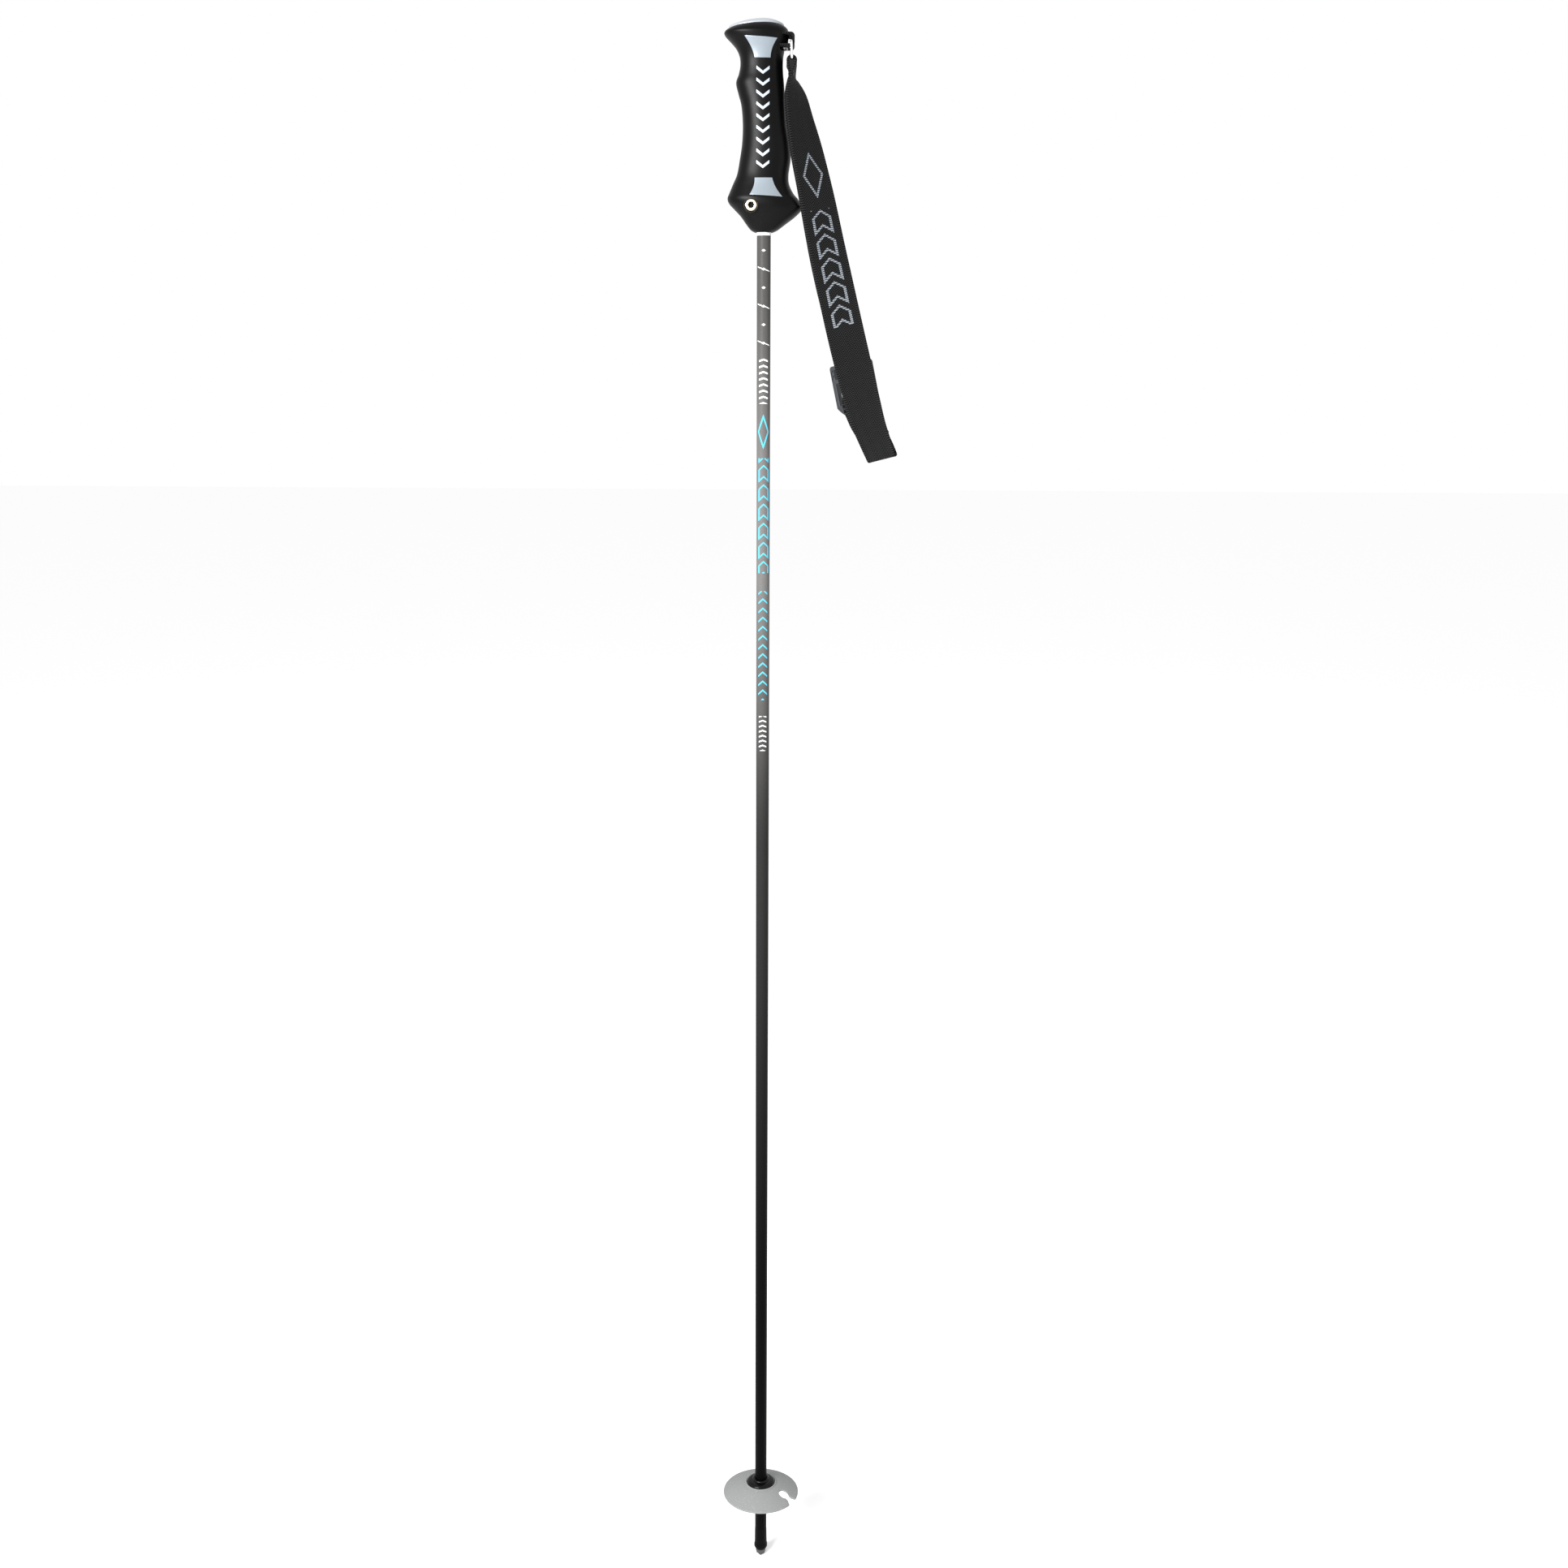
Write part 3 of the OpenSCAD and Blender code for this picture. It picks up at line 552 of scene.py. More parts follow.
def shaft_lacquer():
    """Grey lacquer that darkens to black down the tube, with a generic pattern of marks."""
    material = Material("shaft_lacquer", (0.0008, 0.0008, 0.0009), 0.34, Specular_IOR_Level=0.04)
    x, y, z = material.place()
    around = x.math("ARCTAN2", y * -1) * extent("shaft", 0)[1]
    weave = material.noise(1.2, 3)
    shade_of = weave * 0.3 + 0.85
    material.paint(z.soft_step(230, 720) * shade_of, (0.019, 0.0186, 0.0184))
    material.paint(z.soft_step(640, 900) * shade_of, (0.12, 0.118, 0.116))
    material.paint(z.soft_step(900, 1100) * shade_of, (0.052, 0.051, 0.05))
    white = (0.78, 0.79, 0.8)
    cyan = (0.07, 0.42, 0.58)
    # Marks from the grip down, by height on the tube in millimetres
    tick_start, tick_pitch = 1032.2, 13.5
    tick_at = tick_pitch / 2
    above_start = z - tick_start
    ticks = diamond_mark(around, above_start.saw(tick_pitch), tick_at, 1.5, 1.0, 1.5)
    slant = above_start.saw(2 * tick_pitch) - tick_at + around * 0.32
    lines = slant.size().below(0.32) * around.size().between(1.2, 5.2)
    material.paint((ticks + lines) * z.between(1034, 1112), white)
    block_marks = chevron_marks(around, z, 994, 1028, 4.6, 1.3, 3.6, 0.35)
    material.paint(block_marks * 0.85, white)
    oval = diamond_mark(around, z, 973, 4.6, 13, 1.15)
    big = chevron_marks(around - 0.4, z, 865, 953, 14.7, 9.6, 4.4, 0.9, 1.25)
    thin = chevron_marks(around, z, 765, 851, 7.2, 1.3, 3.8, 0.9)
    material.paint((oval + big + thin).math("MINIMUM", 1.0), cyan)
    small = chevron_marks(around, z, 724, 752, 4.0, 1.1, 3.2, 0.4)
    material.paint(small * 0.8, white)
    material.gloss(weave, 0.28, 0.42)
    return material.bump(weave, 0.006)


def dish_plastic():
    """Light grey moulded plastic with a fine speckle."""
    material = Material("dish_plastic", (0.205, 0.21, 0.208), 0.66, Specular_IOR_Level=0.15)
    speckle = material.noise(0.7, 3, 0.7)
    material.paint(speckle.soft_step(0.48, 0.68) * 0.6, (0.17, 0.176, 0.175))
    material.paint(material.noise(1.1, 2).soft_step(0.6, 0.75) * 0.5, (0.38, 0.39, 0.388))
    return material.bump(speckle, 0.03)


def thread_material():
    material = Material("bonded_thread", (0.02, 0.02, 0.021), 0.6)
    x, y, z = material.place()
    return material.bump((x + y + z).wave(0.5), 0.05)


rubber = grip_rubber()
lacquer = shaft_lacquer()
silver_plate = pearl("silver_plate", (0.3, 0.32, 0.345), 0.3)
silver_inlay = pearl("silver_inlay", (0.19, 0.22, 0.247))
silver_print = pearl("silver_print", (0.36, 0.4, 0.44), 0.32)
white_print = moulded("white_print", (0.72, 0.73, 0.74), 0.35)
core_plastic = moulded("core_plastic", (0.004, 0.004, 0.0042), 0.55, Specular_IOR_Level=0.1)
screw_steel = metal("screw_steel", (0.72, 0.62, 0.47), 0.24, brushed=0.5)
dark_steel = metal("dark_steel", (0.42, 0.42, 0.43), 0.35, brushed=0.5)
brass = metal("brass", (0.75, 0.55, 0.25), 0.3)
chrome = metal("ring_wire", (0.86, 0.86, 0.87), 0.14)
tip_steel = metal("tip_steel", (0.1, 0.1, 0.105), 0.42)
buckle_plastic = moulded("buckle_plastic", (0.022, 0.024, 0.027), 0.42, Specular_IOR_Level=0.3)
hub_plastic = moulded("hub_plastic", (0.0012, 0.0012, 0.0012), 0.2, depth=0.004, Specular_IOR_Level=0.16)
ferrule_plastic = moulded("ferrule_plastic", (0.0012, 0.0012, 0.0013), 0.42, Specular_IOR_Level=0.05)
dish_grey = dish_plastic()
thread = thread_material()


def finish_piece(piece, material, body, slot, *replaced):
    """Gives the piece its material and body, and hides the CAD nodes that it replaces, if any; slot is not
    used.
    """
    dress(piece, material)
    if replaced:
        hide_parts(*replaced)
    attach(piece, body)
    return piece


# ---------- shaft and its fittings ----------
def build_shaft():
    wall = 1.15
    bottom, top = extent("shaft", 2)
    wide = extent("shaft", 0)[1]
    narrow = wide - 0.15
    taper = (300, 1100)
    heights = np.linspace(bottom, top, 60)
    outer = [(float(np.interp(z, taper, (narrow, wide))), float(z)) for z in heights]
    profile = [(narrow - wall, bottom)] + outer + [(narrow - wall, top)]
    tube = lathe("shaft_tube", profile, 128)
    finish_piece(tube, lacquer, "pole", "composite", "shaft")


def build_band():
    """The white band under the grip."""
    radius = extent("shaft_band", 0)[1]
    z0, z1 = extent("shaft_band", 2)
    inner = extent("shaft", 0)[1]
    band = lathe("shaft_collar_band", [(inner, z0), (radius, z0), (radius, z1), (inner, z1)], 128)
    finish_piece(band, white_print, "pole", "white_print", "shaft_band")


# ---------- grip ----------
# Stations from the lower lip to the crown: [height, front, rear, half width in Y]
GRIP = [
    [1119.5, -6.8, 6.8, 6.8],
    [1121.2, -9.8, 10.4, 8.8],
    [1125, -13, 15.6, 11.6],
    [1131, -17.4, 23.6, 14.8],
    [1136.5, -22.8, 28.8, 17.2],
    [1140, -26, 27.8, 18],
    [1143.6, -27.2, 25.4, 18],
    [1147.5, -25.8, 22, 17],
    [1154, -23, 18.8, 15.4],
    [1161, -20, 18.3, 14.6],
    [1172, -17.9, 19.8, 14.8],
    [1183, -16.3, 19, 14.8],
    [1196, -15.8, 16.8, 14.4],
    [1209, -16.8, 15.6, 14],
    [1217, -18.9, 15.2, 14],
    [1225, -20.7, 14.6, 14],
    [1231, -18.8, 14, 13.8],
    [1237, -17.6, 13.7, 13.9],
    [1243, -18, 14, 14.5],
    [1248.5, -20.4, 15.2, 15.6],
    [1253, -24.2, 17.2, 17],
    [1257.3, -28.4, 17.9, 18.1],
    [1260, -29.2, 17.8, 18.3],
    [1262.6, -26, 16.8, 16.8],
    [1265.2, -19, 13, 13.6],
    [1267.1, -10, 7, 7.8],
    [1267.8, -2, -1, 0.5],
]
GRIP_POWER = 2.25
LEVELS = np.array(smooth_rows(GRIP, 7))
UPPER_INLAY = [(-14.4, 1255.6), (9.8, 1254.4), (4.8, 1241.0), (-7.0, 1240.8)]
LOWER_INLAY = [(-6.8, 1157.6), (6.3, 1157.6), (14.0, 1144.0), (-10.6, 1145.4)]
INLAY_BOW = 1.2
INLAY_DEPTH = 1.4
HANGER_T = 1.4


def level_at(z):
    return np.array([z] + [float(np.interp(z, LEVELS[:, 0], LEVELS[:, k])) for k in (1, 2, 3)])


def flank_y(x, z):
    """Half width of the grip in Y at the point [x, z] of its flank."""
    _, front, rear, half = level_at(z)
    t = min(abs((x - (front + rear) / 2) / ((rear - front) / 2)), 1)
    return half * (1 - t**GRIP_POWER) ** (1 / GRIP_POWER)


def power(value):
    return math.copysign(abs(value) ** (2 / GRIP_POWER), value)


def grip_ring(level, sides):
    z, front, rear, half = level
    return [
        ((front + rear) / 2 + (rear - front) / 2 * power(math.cos(a)), half * power(math.sin(a)), z)
        for a in full_turn(sides)
    ]


def inlay_point(corners, u, v, grow=0.0):
    """A point of an inlay whose two long sides bow inwards; grow widens it all round."""
    c = [np.array(p, float) for p in corners]
    bow = np.array([INLAY_BOW * 4 * v * (1 - v), 0])
    left = c[0] + (c[3] - c[0]) * v + bow + np.array([-grow, grow * (1 - 2 * v)])
    right = c[1] + (c[2] - c[1]) * v - bow + np.array([grow, grow * (1 - 2 * v)])
    return left + (right - left) * u


def inlay_outline(corners, grow):
    steps = [k / 10 for k in range(11)]
    left = [tuple(inlay_point(corners, 0, v, grow)) for v in steps]
    right = [tuple(inlay_point(corners, 1, v, grow)) for v in reversed(steps)]
    return left + right


def floor_of(corners):
    grid = [(u / 6, v / 6) for u in range(7) for v in range(7)]
    return min(flank_y(*inlay_point(corners, u, v)) for u, v in grid) - INLAY_DEPTH


def build_grip():
    body = loft("grip_rubber_body", [grip_ring(level, 144) for level in LEVELS])
    tools = []
    for side in (-1, 1):
        for corners in (UPPER_INLAY, LOWER_INLAY):
            floor = floor_of(corners)
            tools.append(prism("pocket", inlay_outline(corners, 0.22), side * floor, side * 30))
    screw = middle("clamp_screw")
    head_r = float(high("clamp_screw")[2] - low("clamp_screw")[2]) / 2
    ear_y = float(high("clamp_core")[1])
    well = rod("well", head_r + 0.3, 12)
    tools.append(placed(well, (screw[0], -ear_y, screw[2]), (1, 0, 0), (0, 0, 1), (0, -1, 0)))
    nut_well = rod("nut_well", high("clamp_nut")[2] - screw[2] + 0.6, 12)
    tools.append(placed(nut_well, (screw[0], ear_y, screw[2]), (1, 0, 0), (0, 0, -1), (0, 1, 0)))
    mouth = rod("mouth", float(high("shaft")[0]) + 0.25, 7)
    tools.append(placed(mouth, (0, 0, GRIP[0][0] - 1)))
    hang_low, hang_high = low("ring_hanger"), high("ring_hanger")
    wide = 2 * hang_high[1] + 0.6
    start_x = float(hang_low[0])
    screw_low = float(low("hanger_screw")[2])
    tools.append(block("lower_slot", (start_x, -wide / 2, screw_low - 0.8),
                       (30, wide, hang_low[2] + HANGER_T - screw_low + 0.8)))
    tools.append(block("upper_slot", (start_x, -wide / 2, hang_high[2] - HANGER_T), (30, wide, HANGER_T)))
    nick = [(-28, 1133.6), (-21.5, 1135.2), (-22.6, 1136.6), (-28, 1138.4)]
    tools.append(prism("nick", nick, -7, 7))
    cut(body, *tools)
    finish_piece(body, rubber, "pole", "grip_rubber", "grip_body")

    # Raised ring of rubber round the clamp screw
    seat_turns = np.linspace(0, 2 * math.pi, 17)[:-1]
    seat = [(head_r + 0.35 + 0.75 * math.cos(a) + 0.6, 0.55 * math.sin(a)) for a in seat_turns]
    boss = lathe("screw_boss", seat, 72)
    face_y = -flank_y(screw[0], screw[2])
    tilt = unit(np.array([-0.16, -1.0, 0.0]))
    side_x = unit(np.cross((0, 0, 1), tilt))
    placed(boss, (screw[0], face_y - 0.05, screw[2]), side_x, np.cross(tilt, side_x), tilt)
    finish_piece(boss, rubber, "pole", "grip_rubber")


def flank_piece(name, spot, count_u, count_v, side, proud, sunk):
    """A thin piece that lies on the flank, over spot(u, v) for u and v from 0 to 1."""
    verts, faces = [], []
    width = count_u + 1
    for layer in (proud, sunk):
        for i in range(count_v + 1):
            for j in range(width):
                x, z = spot(j / count_u, i / count_v)
                y = flank_y(x, z) + layer if layer is proud or not callable(sunk) else sunk(x, z)
                verts.append((x, side * y, z))
    n = width * (count_v + 1)
    for i in range(count_v):
        for j in range(count_u):
            k = i * width + j
            faces.append((k, k + 1, k + width + 1, k + width))
            faces.append((n + k, n + k + width, n + k + width + 1, n + k + 1))
    rim = list(range(count_u))
    rim += [i * width + count_u for i in range(count_v)]
    rim += [count_v * width + j for j in range(count_u, 0, -1)]
    rim += [i * width for i in range(count_v, 0, -1)]
    for a, b in zip(rim, rim[1:] + rim[:1]):
        faces.append((a, n + a, n + b, b))
    return make(name, verts, faces)


def build_inlays():
    for label, corners in (("upper", UPPER_INLAY), ("lower", LOWER_INLAY)):
        floor = floor_of(corners)
        for end, side in (("near", -1), ("far", 1)):
            piece = flank_piece(
                f"{label}_pearl_{end}",
                lambda u, v: inlay_point(corners, u, v),
                30, 22, side, 0.12, lambda x, z: floor,
            )
            soften(piece, 0.22, 2, 50)
            finish_piece(piece, silver_inlay, "pole", "silver_inlay", f"{label}_inlay_{end}")


def build_side_graphic():
    """Nine plain chevrons on each flank."""
    first, pitch, count = 1164, 8.2, 9
    centre, half, bar, drop = -0.7, 4.8, 2.3, 3.6
    for end, side in (("near", -1), ("far", 1)):
        marks = []
        for i in range(count):
            base = first + pitch * i

            def spot(u, v):
                x = centre + (2 * u - 1) * half
                return x, base + abs(2 * u - 1) * drop + bar * (1 - v)

            marks.append(flank_piece("mark", spot, 24, 6, side, 0.25, -0.4))
            soften(marks[-1], 0.16, 2, 50)
        column = joined(f"chevron_column_{end}", marks)
        shade(column, 40)
        finish_piece(column, silver_print, "pole", "silver_print", f"side_graphic_{end}")


def build_top_plate():
    """The cap plate: a curved disc with a rounded rim."""
    x0, x1 = extent("top_plate", 0)
    half_y = extent("top_plate", 1)[1]
    crown = 1270
    thick = 2.4
    sides = 160

    def top(x, y):
        k = x / -x0 if x < 0 else x / x1
        fall = 5.6 if x < 0 else 4.2
        return crown - fall * k * k - 3.2 * (y / half_y) ** 2

    def ring(k, drop):
        reach_x, reach_y = (x1 - x0) / 2 * k, half_y * k
        turns = full_turn(sides)
        spots = [((x0 + x1) / 2 + reach_x * math.cos(a), reach_y * math.sin(a)) for a in turns]
        return [(x, y, top(x, y) - drop) for x, y in spots]

    steps = [0.02, 0.15, 0.3, 0.45, 0.6, 0.75, 0.87]
    rings = [ring(k, thick) for k in steps] + [ring(0.985, thick * 0.92)]
    rings += [ring(0.999, thick * 0.75), ring(0.999, thick * 0.3), ring(0.99, thick * 0.1)]
    rings += [ring(k, 0) for k in [0.965] + steps[::-1]]
    plate = loft("cap_plate", rings)
    finish_piece(plate, silver_plate, "pole", "silver_plate", "top_plate")


# ---------- screws ----------
def build_clamp_screw():
    """A socket screw with a rounded rim and a hexagon socket."""
    spot = middle("clamp_screw")
    y0, y1 = extent("clamp_screw", 1)
    head_r = float(high("clamp_screw")[2] - low("clamp_screw")[2]) / 2
    shank_r = 2.5
    length = y1 - y0
    head = 5.2
    rim = 0.55
    profile = [(0, 0), (head_r - 1.25, 0), (head_r - 1.05, 0)]
    rounding = np.radians([0, 30, 60, 90])
    profile += [(head_r - rim + rim * math.sin(a), rim - rim * math.cos(a)) for a in rounding]
    profile += [(head_r, head), (shank_r, head), (shank_r, length - 0.5)]
    profile += [(shank_r - 0.5, length), (0, length)]
    screw = lathe("clamp_socket_screw", profile, 96)
    socket = lathe("socket", [(0, -1), (2.45, -1), (2.45, 3), (0, 3)], 6)
    cut(screw, socket)
    soften(screw, 0.12, 2, 45)
    # Dark sheet inside the socket: painted shade in its hollow
    shade_sheet_cut = [(0, 2.7), (2.2, 2.7), (2.3, 0.35), (2.44, 0.35), (2.44, 2.99), (0, 2.99)]
    shade_sheet = lathe("socket_painted_shade", shade_sheet_cut, 6)
    for piece in (screw, shade_sheet):
        placed(piece, (spot[0], y0, spot[2]), (1, 0, 0), (0, 0, -1), (0, 1, 0))
    finish_piece(screw, screw_steel, "pole", "screw_steel", "clamp_screw")
    finish_piece(shade_sheet, core_plastic, "pole", "core_plastic")


# ---------- ring hanger ----------
def build_hanger():
    """The short loop of webbing that holds the ring."""
    box_low, box_high = low("ring_hanger"), high("ring_hanger")
    strip = HANGER_T
    bar = joint_at("ring_swing")
    inner = bar[2] - (box_low[2] + strip)
    mid_r = inner + strip / 2
    bend = 2.1
    top_z = box_high[2] - strip / 2
    side_x = bar[0] + mid_r
    wide = np.array([0, 1.0, 0])
    path = [(x, box_low[2] + strip / 2) for x in np.linspace(box_low[0], bar[0] - 0.4, 6)]
    quarter = np.radians(range(0, 91, 15))
    path += [(bar[0] + mid_r * math.sin(a), bar[2] - mid_r * math.cos(a)) for a in quarter]
    path += [(side_x, z) for z in np.linspace(bar[2] + 0.8, top_z - bend, 4)[:-1]]
    path += arc(side_x - bend, top_z - bend, bend, bend, range(0, 91, 18))
    path += [(x, top_z) for x in np.linspace(side_x - bend - 0.8, box_low[0], 5)]
    line = [(np.array([x, 0, z]), wide) for x, z in path]
    loop, length = ribbon("hanger_webbing", line, box_high[1], strip / 2 - 0.03, 0.5, edge=0.05)
    hole = rod("hole", 2.0, 4)
    cut(loop, placed(hole, (middle("hanger_screw")[0], 0, box_low[2] - 1)), angle=60)
    finish_piece(loop, plain_web, "pole", "webbing", "ring_hanger")


# ---------- wrist strap ----------
# Webbing's front leg from the ring down, then its back leg: [x, y, z, turn of the width about Z]
FRONT = [
    [21.35, 0, 1231.2, 5],
    [23.7, -0.8, 1218, 30],
    [27.0, -2, 1200, 43],
    [32.2, -3.6, 1177, 56],
    [39.6, -5.6, 1145, 65],
    [47.9, -5.6, 1106, 75],
    [58.9, -4.4, 1059, 88],
    [68.0, -3.4, 1023, 100],
    [74.6, -2.4, 999, 108],
    [80.2, -1.4, 980, 116],
    [85.2, -0.4, 967, 122],
    [90.6, 0.9, 953.6, 129],
]
BACK = [
    [19.65, 0, 1231.2, 5],
    [22.3, 0.6, 1218, 30],
    [25.6, -0.6, 1200, 43],
    [31.0, -2.2, 1177, 56],
    [38.9, -4.0, 1145, 67],
    [47.6, 1.6, 1106, 80],
    [58.3, 9.2, 1062, 107],
]
# The webbing's width and thickness, its lower fold and its loop round the ring
WEB_W = 28
WEB_T = 1.4
FOLD_R = 1.2
BULB_R = 3.1
BULB_Z = 1239.4
# The buckle's thickness, its sewn bar and locking bar, and how far to one side the webbing lies
BUCKLE_T = 5
SEWN_V = -16
LOCK_V = 6.2
BAR_R = 1.6
WEB_U = 2.2
# Where the run leaves the buckle, its straight parts, and its gap to the free end
EXIT_V = LOCK_V + 7.9
JOIN_AT = 8
STRAIGHT = 3
TAIL_GAP = 1.9
FOLD_STRAIGHT = 2.5

# The buckle's own frame: across, down its length, and out of its upper face
lean = math.radians(12)
down = np.array([math.sin(lean), 0, -math.cos(lean)])
wide = np.array(joints["buckle_tilt"]["axis"])
out = np.cross(wide, down)
buckle_c = joint_at("buckle_tilt") - SEWN_V * down
SEWN_R = BAR_R + 0.25 + WEB_T / 2
LOCK_R = BAR_R + 0.15 + WEB_T / 2
TAIL_O = -BUCKLE_T / 2 - 0.15 - WEB_T / 2
LOAD_O = TAIL_O - WEB_T - 0.2


def at_buckle(v, o):
    return buckle_c + v * down + o * out


def at_web(v, o):
    """The middle of the webbing, which lies to one side of the buckle's window."""
    return at_buckle(v, o) + WEB_U * wide


def flat_run(pairs):
    return [(at_web(v, o), wide) for v, o in pairs]


def arc_run(v, r, first, last, steps):
    turns = [math.radians(first + (last - first) * i / steps) for i in range(steps + 1)]
    return flat_run([(v + r * math.cos(a), r * math.sin(a)) for a in turns])


def leg(rows):
    points = [row[:3] for row in rows]
    line = []
    for i, row in enumerate(rows):
        turn = math.radians(row[3])
        w = np.array([math.sin(turn), math.cos(turn), 0])
        line.append((points[i], squared(w, heading(points, i))))
    return line


def strap_lines():
    """The main webbing down to its lower fold, and the run from there through the buckle."""
    ring_low = joint_at("strap_swing")
    sewn = flat_run([(-36, -0.85), (-28, -0.95), (-22, -1.3)])
    sewn += arc_run(SEWN_V, SEWN_R, -120, 120, 12)
    sewn += flat_run([(-22, 1.3), (-28, 0.8)])
    up = leg(smooth_rows(BACK[::-1], 3))
    turns = [math.radians(200 - 220 * i / 12) for i in range(13)]
    level = np.array([0, 1.0, 0])
    bulb = [
        (np.array([ring_low[0] + BULB_R * math.cos(a), 0, BULB_Z + BULB_R * math.sin(a)]), level)
        for a in turns
    ]
    front = leg(smooth_rows(FRONT, 3))
    end, width = front[-1]
    run = unit(end - front[-2][0])
    side = np.cross(run, width)
    fold = [
        (end - FOLD_R * (1 - math.cos(a)) * side + FOLD_R * math.sin(a) * run, width)
        for a in [math.pi * i / 10 for i in range(1, 11)]
    ]
    # Along the buckle's face towards the fold, then down to it
    leave = at_web(EXIT_V, LOAD_O)
    gap = fold[-1][0] - leave
    ahead = squared(gap, out)
    across = squared(wide, ahead)

    def on_run(along, lift=0.0):
        return leave + along * ahead + lift * out, across

    # A curve with the handles b and c joins the fold's straight end a to the run's straight end d
    a, d = fold[-1][0] - FOLD_STRAIGHT * run, on_run(JOIN_AT + STRAIGHT)[0]
    b, c = a - 10 * run, d + 6 * ahead
    loaded = [fold[-1]]
    for i in range(7):
        k = i / 6
        spot = (1 - k)**3 * a + 3 * k * (1 - k)**2 * b + 3 * k * k * (1 - k) * c + k**3 * d
        loaded.append((spot, unit(width * (1 - k) + across * k)))
    through = [on_run(along) for along in (JOIN_AT, 4, 0)]
    through += flat_run([(LOCK_V + 4, LOAD_O + 0.4), (LOCK_V + 1.8, -3.2)])
    through += arc_run(LOCK_V, LOCK_R, -110, -340, 10)
    through += flat_run([(LOCK_V + 3, -0.6), (LOCK_V + 3.8, -2.4), (LOCK_V + 5.6, TAIL_O)])
    through += [on_run(along, TAIL_O - LOAD_O) for along in (3, 7, 10)]
    through += [(spot + TAIL_GAP * out, w) for spot, w in loaded[6:2:-1]]
    return sewn, up, bulb, front, fold, loaded + through


def motif(first, last):
    """A woven column on the strap's face: one open diamond, then open chevrons."""
    def marks(u, v):
        gem_l = 17
        gem = diamond_mark(u, v, first + gem_l, 8.8, gem_l, 1.9)
        open_marks = chevron_marks(u, v, first + 42, last, 17.5, 12.5, 7.8, -0.75, 2.0)
        return (gem + open_marks).math("MINIMUM", 1.0)
    return marks


def length_of(line):
    points = np.array([p for p, _ in line])
    return float(np.linalg.norm(np.diff(points, axis=0), axis=1).sum())


plain_web = webbing("webbing")


def build_strap():
    sewn, up, bulb, front, fold, run = strap_lines()
    main = sewn + up + bulb + front + fold
    before_front = length_of(sewn + up + bulb + front[:1])
    printed = webbing("printed_webbing", motif(before_front + 56, before_front + 184))
    strap, length = ribbon("wrist_strap", main, WEB_W / 2, WEB_T / 2)
    finish_piece(strap, printed, "strap", "webbing", "wrist_webbing")

    # Folded webbing that fills the loop round the ring's lower bar
    bar = joint_at("strap_swing")
    fill_r = 2.55
    teardrop = arc(bar[0], BULB_Z, fill_r, fill_r, range(-20, 201, 10))
    teardrop += [(bar[0] - 0.5, 1231.0), (bar[0] + 0.5, 1231.0)]
    filler = prism("strap_filler", teardrop, -13.5, 13.5)
    sleeve = placed(rod("sleeve", 1.1, 30), (bar[0], 15, bar[2]), (1, 0, 0), (0, 0, 1), (0, -1, 0))
    cut(filler, sleeve)
    finish_piece(filler, core_plastic, "strap", "webbing")

    loaded, loaded_length = ribbon("strap_run", run, WEB_W / 2, WEB_T / 2, start=length)
    dress(loaded, plain_web)
    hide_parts("strap_tail")
    tuple(run[2][0] * MM)
    tuple(run[8][0] * MM)
    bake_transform(loaded)


def stitches(name, centre, across, along, through, rows, span, lift, node):
    """Rows of zigzag stitching on both faces of the layers."""
    data = bpy.data.curves.new(name, "CURVE")
    data.dimensions = "3D"
    data.bevel_depth = 0.3 * MM
    data.bevel_resolution = 3
    count = 26
    for face in (-1, 1):
        for row in range(rows):
            line = data.splines.new("POLY")
            line.points.add(count)
            for i in range(count + 1):
                step = (row - (rows - 1) / 2) * 2.2 + (0.55 if i % 2 else -0.55)
                spot = centre + along * step + across * span * (i / count - 0.5) + through * lift * face
                line.points[i].co = (*(spot * MM), 1)
    piece = from_curve(name, data)
    shade(piece, 60)
    finish_piece(piece, thread, "strap", "thread", node)


def build_stitching():
    mid = (np.array(FRONT[0][:3]) + np.array(BACK[0][:3])) / 2
    turn = math.radians(FRONT[0][3])
    across = np.array([math.sin(turn), math.cos(turn), 0])
    along = np.array([0, 0, -1.0])
    span = WEB_W - 5
    through = np.cross(across, along)
    stitches("ring_stitching", mid, across, along, through, 2, span, 1.62, "ring_bartack")
    sewn = at_web(-31.5, -0.05)
    stitches("buckle_stitching", sewn, wide, down, out, 3, span, 1.7, "buckle_bartack")


# ---------- buckle ----------
def outline_plate(name, outlines, thickness, edge):
    """A flat plate with rounded edges; the outlines after the first are holes."""
    data = bpy.data.curves.new(name, "CURVE")
    data.dimensions = "2D"
    data.fill_mode = "BOTH"
    data.extrude = (thickness / 2 - edge) * MM
    data.bevel_depth = edge * MM
    data.bevel_resolution = 3
    data.offset = -edge * MM
    for outline in outlines:
        line = data.splines.new("POLY")
        line.points.add(len(outline) - 1)
        for point, (x, y) in zip(line.points, outline):
            point.co = (x * MM, y * MM, 0, 1)
        line.use_cyclic_u = True
    piece = from_curve(name, data)
    mend(piece.data, 1e-6)
    shade(piece, 40)
    return piece


def rounded(x0, y0, x1, y1, r, steps=5):
    """A rectangle with rounded corners."""
    corners = [(x1 - r, y1 - r, 0), (x0 + r, y1 - r, 90), (x0 + r, y0 + r, 180), (x1 - r, y0 + r, 270)]
    quarter = [90 * k / steps for k in range(steps + 1)]
    return [p for x, y, start in corners for p in arc(x, y, r, r, [start + a for a in quarter])]


